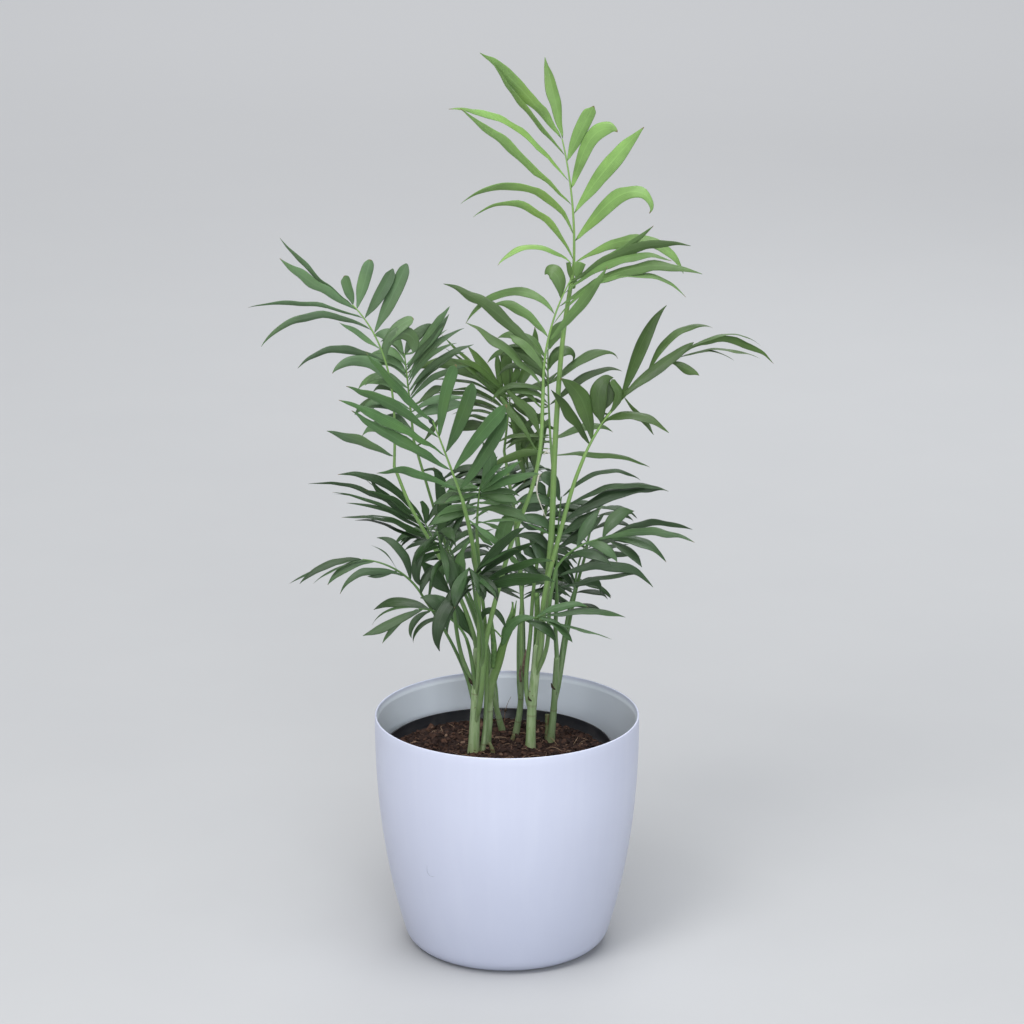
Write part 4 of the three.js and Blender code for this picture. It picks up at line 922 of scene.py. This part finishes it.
def makeLeafMaterial(tint, upper, under):
    look = leafLook
    m = Finish("leaf " + tint, look["roughness"], look["gloss"])
    across = m.calc("ABSOLUTE", m.carried("across"))
    along, tone = m.carried("along"), m.carried("tone")
    veins = m.calc("POWER", m.calc("ABSOLUTE", m.calc("SINE", m.times(across, look["veins"]))), 3)
    light = tuple(min(1, v * 1.4 + 0.015) for v in upper)
    cloud = m.pattern(*look["cloud"])
    colour = m.layers(
        m.mix(cloud, tuple(v * look["darkest"] for v in upper), upper),
        (m.pattern(*look["patch"]), tuple(v * share for v, share in zip(upper, look["yellowed"]))),
        (m.times(veins, look["veinShare"]), light), (m.carried("under"), under),
        (m.times(m.ramp(across, *look["midribEdge"]), look["midrib"]), light),
        # a painted highlight along the edges, then the leaflet's own pale foot
        (m.ramp(across, *look["paintedEdgeHighlight"]), light), (m.ramp(along, *look["paleFoot"]), light))
    uneven = look["evener"].get(tint, look["toneSpread"])
    shade = m.ramp(tone, 0, 1, 1 - uneven, 1 + uneven)
    grey = m.add("ShaderNodeCombineColor", {0: shade, 1: shade, 2: shade}).outputs[0]
    dry = m.times(m.ramp(along, *look["dryTip"]), m.ramp(tone, *look["dryTone"]))
    colour = m.layers(m.mix(1, colour, grey, "MULTIPLY"), (dry, look["dry"]))
    return m.done(colour, (veins, 0.3, 0.0003), m.ramp(cloud, 0, 1, *look["roughEnds"]))


def makeStalkMaterial():
    look = stalkLook
    m = Finish("green stalk", 0.38, 0.45)
    cloud, shade = m.pattern(*look["cloud"]), m.carried("shade")
    _, caneGreen = caneStreak(m)
    lower = m.times(m.carried("near"), m.ramp(shade, 0, 1, 0.8, 0.35))
    # painted shade: each stalk is darkened by its shade value
    colour = m.layers(m.mix(m.carried("along"), look["foot"], look["tip"]), (cloud, look["cloudColour"]),
                      (shade, look["deep"]), (lower, caneGreen))
    return m.done(colour, (cloud, 0.15, 0.0003))


fillLook = {  # slimmer leaflets between the others, where the crown is thick
    "both": ("mid_front", "mid_left", "back_centre", "drop_left", "drop_front",
             "back_low_left", "back_low", "back_high", "back_left"),
    "leftOnly": ("inner", "back_low_right", "back_right", "foot_right"),
    "between": 2, "width": 0.62, "length": 0.86,
    "turn": 22, "tilt": 10,  # degrees
}
scraps = {  # folded or bent leaflets: which way each faces, then the points of its line, each with a width
    "second": [
        ((-0.5, -1, 0.3), [(42, 8, 458.5, 1.2), (44.4, 8, 458.7, 2.4), (41.9, 7, 466.8, 4.2),
            (39.6, 7, 475.9, 3)]),
        ((0.2, -1, 0.5), [(41.7, -10.9, 467.9, 1.2), (44.6, -11.5, 467.2, 1.6), (46.6, -13.5, 474.2, 6.4),
            (48.1, -14, 481.2, 8.5)]),
    ],
    "young": [
        ((-0.4, -1, 0.5), [(-3.5, -12.5, 216.3, 2.5), (-0.5, -13.6, 227.3, 7), (4.5, -14.5, 233.8, 7.4),
            (11.6, -15, 236.6, 4.6), (19, -15, 237.1, 2.2)]),
    ],
    "right": [
        ((0.3, -1, 0.4), [(64.6, 7.4, 367.5, 1.2), (64.8, 7.5, 368.5, 2), (71.4, 8.2, 376.6, 5.4),
            (74.7, 8.8, 386.7, 6.2), (69.9, 9.5, 396.1, 4.6)]),
        ((-0.2, -1, 0.6), [(76.1, 10.3, 381.2, 1.2), (78.2, 8.6, 385.5, 4), (86.7, 9.8, 393.4, 7.5),
            (98.6, 13, 401.4, 7.5), (111.3, 16.4, 410.1, 6), (124.7, 19.9, 418.9, 1.6)]),
        ((0.2, -1, 0.3), [(67.7, 8.2, 371.7, 1.2), (64.1, 8.5, 373, 2), (68.1, 9.5, 381, 6),
            (69.4, 10.5, 388.3, 6), (66, 11.5, 394.9, 3.6)]),
    ],
    "mid_front": [
        ((0, -1, 0.5), [(12.3, -22.6, 317.4, 1.2), (12.7, -23, 316.1, 3), (3.4, -24.3, 311.7, 9),
            (-1.9, -25.7, 301.8, 10.5), (-2.6, -26.9, 289.7, 3)]),
        ((0, -1, 0.8), [(-26.2, -47.8, 316.7, 1.2), (-25.5, -48, 316, 1.4), (-17.6, -48, 309.8, 5),
            (-9.8, -48, 303.6, 5), (-2.6, -48, 295.4, 1)]),
        ((0, -0.6, 1), [(14.3, -22.4, 322.8, 1.2), (11.3, -22.5, 321.6, 1.2), (-1.2, -23.8, 319.8, 2.8),
            (-12.5, -25.2, 316.1, 2.6), (-23.1, -26.5, 308.9, 0.8)]),
        ((0, -0.6, 1), [(11.9, -39.6, 312.1, 1.2), (0.8, -41.6, 314.1, 2.8), (-11.1, -43.5, 313.3, 2.6),
            (-24.2, -45.5, 311.2, 0.8), (-24.9, -45.7, 310, 1.2)]),
        ((0, -0.6, 1), [(13.5, 12, 295.4, 1.4), (25.6, 15, 288.9, 3.6), (37.3, 18, 280.9, 1.2),
            (34.1, 18.2, 280.3, 1.2)]),
        ((-0.2, -1, 0.3), [(-23.1, -42.4, 300, 1.2), (-24.3, -42.5, 299.9, 3), (-29.6, -43.8, 292.1, 8),
            (-31.6, -45.2, 278.7, 8), (-29.6, -46.5, 265.2, 2.4)]),
        ((0.2, -1, 0.3), [(-19.5, -25.9, 292.6, 1.2), (-20.5, -26, 292.8, 4.4), (-21.9, -26.7, 286.8, 5),
            (-19.9, -27.3, 277.2, 4.4), (-17.9, -28, 267.7, 1.4)]),
        ((0, -0.6, 1), [(-3.2, -30.5, 304.5, 1.5), (-10.5, -30.5, 306.6, 4), (-17.8, -30.5, 308.7, 1.2),
            (-19.7, -30.5, 308.8, 1.2)]),
        ((0, -1, 0.5), [(-9.2, -28, 292.1, 1.5), (-14.5, -28, 295.6, 5), (-19.2, -28, 299, 1.5)]),
        ((0, -1, 0.5), [(7.4, -22.5, 275.7, 2), (3.4, -22.5, 280.6, 5), (-0.6, -22.5, 285.5, 2),
            (1, -23, 284.8, 1.2)]),
    ],
    "mid_left": [
        ((0, -1, 0.5), [(-35.4, -9, 278.5, 2), (-44.2, -10.3, 269.2, 7.5), (-50.9, -11.7, 258.4, 8),
            (-53, -13, 248.9, 2), (-54.1, -13.4, 247.9, 1.2)]),
        ((0, -1, 0.5), [(-54.8, 22, 291.7, 1.5), (-55.4, 22, 300.2, 5.5), (-58.1, 22, 307.9, 2)]),
        ((0, -1, 0.5), [(-41.4, 35, 317.6, 2), (-45.4, 35, 321.7, 6), (-48.8, 35, 326.7, 2),
            (-57.1, 35.1, 325.3, 1.2)]),
        ((0, -1, 0.5), [(-51.1, -58.5, 388.8, 1.2), (-48.5, -58.5, 385.4, 3.4), (-46.6, -58.5, 382, 1.2)]),
    ],
    "back_centre": [
        ((0, -1, 0.5), [(-0.7, 44.5, 380.9, 1.6), (8.8, 41.8, 372.5, 6), (18.3, 39.2, 359.9, 6.4),
            (25.1, 36.5, 345.3, 1.6), (29.5, 36.6, 346.5, 1.2)]),
        ((0, -1, 0.5), [(-4.5, -12.7, 390.2, 1.6), (3.4, -15.3, 379.3, 5), (12, -17.9, 367, 5),
            (21.3, -20.5, 354, 1.2), (22, -20, 356.2, 1.2)]),
        ((0, -1, 0.5), [(3.4, 50.5, 382.1, 1.2), (13.5, 46.5, 377.6, 4.4), (23.1, 42.5, 367.5, 1.4),
            (28.3, 43.3, 368.3, 1.2)]),
        ((0, -1, 0.5), [(2.1, 64.9, 369.2, 1.2), (-2.7, 65.5, 372.6, 2), (-4.8, 65.5, 384.6, 5),
            (-6.1, 65.5, 393.7, 4.5), (-6.8, 65.5, 400.8, 1)]),
        ((0, -1, 0.5), [(2.1, 64.9, 369.2, 1.2), (0.7, 66, 373.9, 2), (4.1, 66, 381, 5),
            (6.8, 66, 386.6, 5), (7.4, 66, 392.2, 1.5)]),
    ],
    "drop_front": [
        ((0.2, -1, 0.8), [(-18.7, -19.6, 232.9, 1.2), (-18.1, -19, 234, 3.2), (-14.5, -19.6, 243.4, 4.2),
            (-8.5, -20.3, 245, 4), (-3.5, -20.8, 240, 3.2), (-0.6, -21, 232, 0.8)]),
    ],
    "drop_left": [
        ((0, -1, 0.5), [(-35.6, -31.6, 254.8, 1.2), (-34.5, -31.5, 254.8, 3), (-40.5, -35.5, 264.4, 10),
            (-48.3, -39.4, 274.7, 10), (-56.7, -43.4, 285, 2)]),
        ((0, -1, 0.4), [(-34.3, -9.5, 245.7, 3), (-31, -9.5, 236.5, 7), (-27, -8.5, 227.6, 6),
            (-22.2, -7.5, 218.1, 1.5), (-22.5, -6.8, 219.7, 1.2)]),
    ],
    "back_left": [
        ((0, -1, 0.5), [(-68.9, 37.4, 406.6, 1.2), (-63.1, 37.5, 407.7, 2), (-57.7, 36.5, 414.2, 5),
            (-48.9, 35.5, 425.4, 4.8), (-38.1, 34.5, 440.1, 0.6)]),
    ],
    "inner": [
        ((0, -1, 0.5), [(-41.9, 41, 381.8, 2), (-49.2, 39, 380.3, 5.5), (-55.3, 37, 375.8, 5),
            (-61.3, 35, 372.2, 1.5), (-65.3, 35.4, 371.9, 1.2)]),
        ((0, -1, 0.5), [(-61.8, 34.2, 342.7, 1.2), (-56.8, 34.5, 345.9, 1.2), (-51.3, 34.5, 353.5, 4),
            (-45.2, 34.5, 363.3, 1.2)]),
    ],
    "mid_right": [
        ((0, -1, 0.5), [(27.1, 27, 301.5, 2), (20.3, 27, 302.2, 6), (14.3, 27, 302.2, 6),
            (8.1, 27, 298.7, 2)]),
        ((0, -1, 0.5), [(24, 26, 286.2, 1.2), (26.4, 25.5, 285.8, 2), (18.3, 25.5, 288.6, 5),
            (9.5, 25.5, 292.8, 1.5)]),
        ((0, -1, 0.5), [(20.5, 24.1, 263.5, 1.2), (21, 24.5, 264.7, 3), (16.3, 24.5, 270.4, 8),
            (10.9, 24.5, 276.1, 3)]),
        ((0, -1, 0.5), [(27.8, 27.2, 309, 1.2), (27.7, 26.5, 307.4, 2), (24.4, 26.5, 313.6, 6),
            (21, 26.5, 320, 3)]),
    ],
}


def scrapLine(facing, guides, pick):
    steps = leafLook["points"]
    points = smoothLine([guide[:3] for guide in guides], steps + 1)
    sideways = np.cross(np.array(facing, float), headings(points))
    sideways /= np.linalg.norm(sideways, axis=1)[:, None]
    half = halfWidths([guide[3] for guide in guides], steps + 1)
    half[0] = half[-1] = 0
    return {"points": points, "sideways": sideways, "halfWidth": half * mm,
            "along": 0.2 + 0.7 * np.linspace(0, 1, steps + 1), "tone": np.full(steps + 1, pick.random())}


def softOutline(u, outline):  # the outline with its corners rounded
    fine = np.linspace(-0.2, 1.2, 561)
    window = np.hanning(65)
    return np.interp(u, fine, np.convolve(np.interp(fine, *outline), window / window.sum(), "same"))


def leafletLine(root, frond, side, index, sign, pick, isBlunt, size=1.0):
    look = leafLook
    steps, count = look["points"], len(side["length"])
    t = index / (count - 1)
    share = spread(side["width"], t) if "width" in side else 1
    rise, fall, length = spread(side["rise"], t), spread(side["fall"], t), spread(side["length"], t) * size
    late = spread(side.get("late", [look["late"]]), t)
    sway = pick.uniform(-1, 1) * look["sway"]
    points = bendLine(root, side["bearing"], rise, fall, length, late, steps, sway)
    even = np.linspace(0, 1, steps + 1)
    u = 1 - (1 - even) ** look["crowded"]
    points = readLine(u, even, points)
    steer = headings(points)
    real = share if share >= look["flatFrom"] else look["thinnest"] + (1 - look["thinnest"]) * share
    edgeOn = math.degrees(math.acos(min(1, share / real))) * pick.choice((-1, 1))
    turn = edgeOn if abs(edgeOn) > look["roll"] else sign * look["roll"]
    start = round(look["facesFrom"] * steps)
    faces = np.array(frond["faces"], float)
    upper = unit(faces - steer[start] * (faces @ steer[start]))
    sideways = np.zeros_like(points)
    for walk in (range(start, steps + 1), range(start, -1, -1)):
        current = upper
        for i in walk:
            current = unit(current - steer[i] * (current @ steer[i]))
            sideways[i] = np.cross(current, steer[i])
    angle = np.radians(turn + look["twist"] * pick.uniform(-1, 1) * (u - look["facesFrom"]))[:, None]
    sideways = sideways * np.cos(angle) + np.cross(steer, sideways) * np.sin(angle)
    half = softOutline(u, look["bluntOutline" if isBlunt else "outline"]) * frond["leafWidth"] * real / 2
    half *= look["slender"].get(frond["name"], 1)
    if isBlunt:
        half *= np.sqrt(np.clip((1 - u) / look["bluntEnd"], 0, 1))
    half[0] = half[-1] = 0
    half[1] = max(half[1], look["footHalf"])
    return {"points": points, "sideways": sideways, "halfWidth": half * mm, "along": u,
            "tone": np.full(steps + 1, pick.random())}


def makeStalk(frond, rib, material):
    look, count = stalkLook, stalkLook["petiolePoints"]
    leave = np.array(frond["petiole"][0], float)
    cane = min(caneLines.values(), key=lambda line: np.linalg.norm(line - leave, axis=1).min())
    nearest = np.linalg.norm(cane - leave, axis=1).argmin()
    down = (cane[nearest, 2] - cane[:, 2] - look["rooted"]) ** 2
    petiole = smoothLine([cane[down.argmin()], *frond["petiole"], frond["foot"]], count)
    walked = np.arange(count) / (count - 1) * np.linalg.norm(np.diff(petiole, axis=0), axis=1).sum()
    half = halfWidths(frond["stem"], count)
    half *= 1 + (look["sheath"] - 1) * np.exp(-walked / look["sheathLength"])
    swell = np.clip(walked / look["wedge"], 0, 1) ** look["wedgePower"]
    half *= look["wedgeFoot"] + (1 - look["wedgeFoot"]) * swell
    ribHalf = np.linspace(min(half[-1], look["ribFoot"] / 2), look["ribTip"] / 2, look["ribPoints"])
    points = np.vstack([petiole, rib[1:], rib[-1] + unit(rib[-1] - rib[-2]) * look["ribEnd"]])
    half = np.concatenate([half, ribHalf, [0]])
    half[0] = 0
    points = np.insert(points, 1, points[0] + unit(points[1] - points[0]) * endStep, axis=0)
    half = np.insert(half, 1, half[1])
    usual = look["deepShade" if tintOf.get(frond["name"], "deep") == "deep" else "shade"]
    line = {"points": points, "halfWidth": half * mm, "along": np.linspace(0, 1, len(points)),
            "shade": np.linspace(*look["shades"].get(frond["name"], (usual, usual)), len(points)),
            "near": np.exp(-(walkedTo(points) / look["canePart"]) ** 2)}
    return runTree(lineObject("stalk_" + frond["name"], [line]), limbTree, {
        "Sides": look["sides"], "Material": material})


def makeLeaflets(frond, rib, material):
    pick = random.Random("palm " + frond["name"])
    lines, marks = [], range(len(rib))
    first, further = leafLook["evenly"]
    sides = [(key, sign, {**frond.get("both", {}), **frond[key]})
             for key, sign in (("left", 1), ("right", -1))]
    for key, sign, side in sides:
        count = len(side["length"])
        for i in range(count):
            at = side["at"][i] if "at" in side else first + further * i / (count - 1)
            root = readLine(at * stalkLook["ribPoints"], marks, rib)
            root = root + direction(side["bearing"], 0) * leafLook["fromRib"]
            isBlunt = i in leafLook["blunt"].get(frond["name"], {}).get(key, ())
            lines.append(leafletLine(root, frond, side, i, sign, pick, isBlunt))
    slim = dict(frond, leafWidth=frond["leafWidth"] * fillLook["width"])
    for key, sign, side in sides:
        count = len(side["length"])
        isFilled = frond["name"] in fillLook["both"] + (fillLook["leftOnly"] if key == "left" else ())
        for i in range((count - 1) * fillLook["between"] if isFilled else 0):
            place = i / fillLook["between"] + pick.uniform(0.25, 0.75) / fillLook["between"]
            t = place / (count - 1)
            at = spread(side["at"], t) if "at" in side else first + further * t
            turned = dict(side, bearing=side["bearing"] + pick.uniform(-1, 1) * fillLook["turn"],
                          rise=[v + pick.uniform(-1, 1) * fillLook["tilt"] for v in side["rise"]])
            root = readLine(at * stalkLook["ribPoints"], marks, rib)
            lines.append(leafletLine(root, slim, turned, place, sign, pick, False, fillLook["length"]))
    lines += [scrapLine(facing, guides, pick) for facing, guides in scraps.get(frond["name"], ())]
    return runTree(lineObject("leaflets_" + frond["name"], lines), leafletTree, {
        **leafLook["form"], "Material": material})


trimmingLook = {"points": 24, "sides": 9, "grain": (420, 4, 0.55, 0.35, 0.65)}
trimmings = {  # small cut, dry or budding things: the points of each from foot to tip, then its widths
    "cut": {"colours": ((0.2, 0.27, 0.12), (0.13, 0.085, 0.045)), "slot": "cane", "lines": [
        ([(27.9, 23.5, 135), (28, 24, 145), (27.8, 24, 154.5)], (4.6, 3.8, 3.6)),
        ([(3, 22, 135), (4, 22, 138), (4.5, 22, 141)], (3.4, 2.8, 2.4)),
        ([(-9, -3, 134), (-10, -4, 139), (-12, -4, 144)], (3.6, 3, 2.2)),
    ]},
    "bud": {"colours": ((0.03, 0.022, 0.014), (0.07, 0.05, 0.03)), "slot": "cane", "lines": [
        ([(-22.2, -7, 186), (-24.6, -8.4, 190), (-25.6, -9, 192.4)], (1, 2.6, 1)),
        ([(33, 17, 175), (31, 15.4, 177.4), (30.2, 14.8, 180.4)], (0.8, 1.8, 0.6)),
        ([(16.6, 4.6, 171), (14.9, 3.2, 173), (14.4, 2.8, 175)], (0.8, 1.5, 0.5)),
        ([(-1.6, 62, 143), (-1.1, 62, 144.2), (-0.8, 62, 145.4)], (1.2, 2.4, 1.2)),
    ]},
    "dry": {"colours": ((0.16, 0.095, 0.06), (0.28, 0.18, 0.12)), "slot": "cane", "lines": [
        ([(-5, 64, 134), (-5.6, 64, 139), (-5.2, 64, 142), (-4, 64, 144)], (1.2, 1.5, 0.9, 0.3)),
        ([(-2.2, 62, 135), (-1.2, 62, 144), (0.6, 61, 150), (2.8, 60, 155)], (0.5, 0.4, 0.3, 0.2)),
    ]},
    "husk": {"colours": ((0.17, 0.115, 0.085), (0.3, 0.23, 0.18)), "slot": "petiole", "lines": [
        ([(12.4, 30, 180), (11.8, 29, 188), (12.2, 29, 194), (13, 29, 200)], (2.6, 3.2, 2.2, 0.6)),
        ([(9.6, 31, 176), (9, 30.6, 181), (9.4, 30, 188)], (2, 1.8, 0.4)),
    ]},
    "thread": {"colours": ((0.52, 0.5, 0.42), (0.68, 0.66, 0.58)), "slot": "petiole", "lines": [
        ([(21.3, -24, 340), (19.9, -24.6, 333), (20, -24.8, 326.8), (22.6, -24.4, 318.5), (26, -24, 309.6)],
         (1.3, 0.9, 0.9, 0.7, 0.3)),
        ([(24.4, -22, 353), (26, -23.6, 355), (27.6, -23.4, 357.5)], (1, 0.8, 0.3)),
        ([(25.4, -22, 355), (27.2, -23.2, 354.2), (28.8, -23.4, 352.6)], (0.8, 0.6, 0.3)),
    ]},
    "spear": {"colours": ((0.085, 0.17, 0.055), (0.17, 0.29, 0.09)), "slot": "petiole", "lines": [
        ([(2.6, -9, 228), (4.1, -7, 234.6), (3.4, -7, 246)], (1.6, 1.8, 0.5)),
        ([(3.6, -9, 230), (4.7, -7, 235.6), (6.4, -7, 246.7)], (1.4, 1.8, 0.5)),
        ([(-15.4, -14, 233), (-9, -14.6, 229), (-3.3, -13, 222.4)], (0.8, 1.1, 1.1)),
        ([(-9.5, -4, 197.7), (-8.8, -4, 212), (-10.1, -4, 226.2), (-11.4, -4, 238.2)],
         (2.4, 4.2, 3.2, 1.6)),
        ([(17, 12, 189.4), (19.1, 12, 208.8), (20.4, 12, 228.1), (20.3, 12, 245.9)], (1.6, 2.6, 4, 3.6)),
        ([(0.7, -9, 231.4), (3.4, -9, 239.2), (4.1, -9, 246.2)], (3.4, 2.6, 0.8)),
    ]},
    "scratch": {"colours": ((0.33, 0.36, 0.44), (0.42, 0.45, 0.53)), "slot": "cover_plastic", "lines": [
        ([(-53.6, -65.95, 79.4), (-53.3, -65.2, 74.1), (-51.6, -66.1, 71.9), (-46.8, -69.6, 72.3)],
         (0.1, 0.3, 0.35, 0.12)),
    ]},
}


def makeTrimmings(kind, look):
    m = Finish("trimming " + kind, 0.7, 0.25)
    grain = m.pattern(*trimmingLook["grain"])
    material = m.done(m.mix(grain, *look["colours"]), (grain, 0.4, 0.0004))
    lines, count = [], trimmingLook["points"]
    for through, width in look["lines"]:
        points = smoothLine(through, count)
        half = halfWidths(width, count)
        points = np.vstack([points[0], points, points[-1]])  # both ends close on the axis
        points[1] += unit(points[2] - points[1]) * endStep
        points[-2] -= unit(points[-2] - points[-3]) * endStep
        lines.append({"points": points, "halfWidth": np.array([0, *half, 0]) * mm})
    piece = runTree(lineObject("trimming_" + kind, lines), limbTree, {
        "Sides": trimmingLook["sides"], "Material": material})
    keep(piece, look["slot"])


for kind, look in trimmings.items():
    makeTrimmings(kind, look)
print("palm: trimmings,", sum(len(look["lines"]) for look in trimmings.values()))

stalkMaterial = makeStalkMaterial()
leafMaterials = {tint: makeLeafMaterial(tint, upper, under) for tint, (upper, under, _) in leafTints.items()}
for frond in fronds:
    rib = bendLine(np.array(frond["foot"], float), frond["bearing"], *frond["rise"], frond["reach"],
                   frond.get("late", 1), stalkLook["ribPoints"])
    tint = tintOf.get(frond["name"], "deep")
    keep(makeStalk(frond, rib, stalkMaterial), "petiole", "petiole_" + frond["name"])
    keep(makeLeaflets(frond, rib, leafMaterials[tint]), leafTints[tint][2], "frond_" + frond["name"])
print("palm: fronds,", len(fronds))
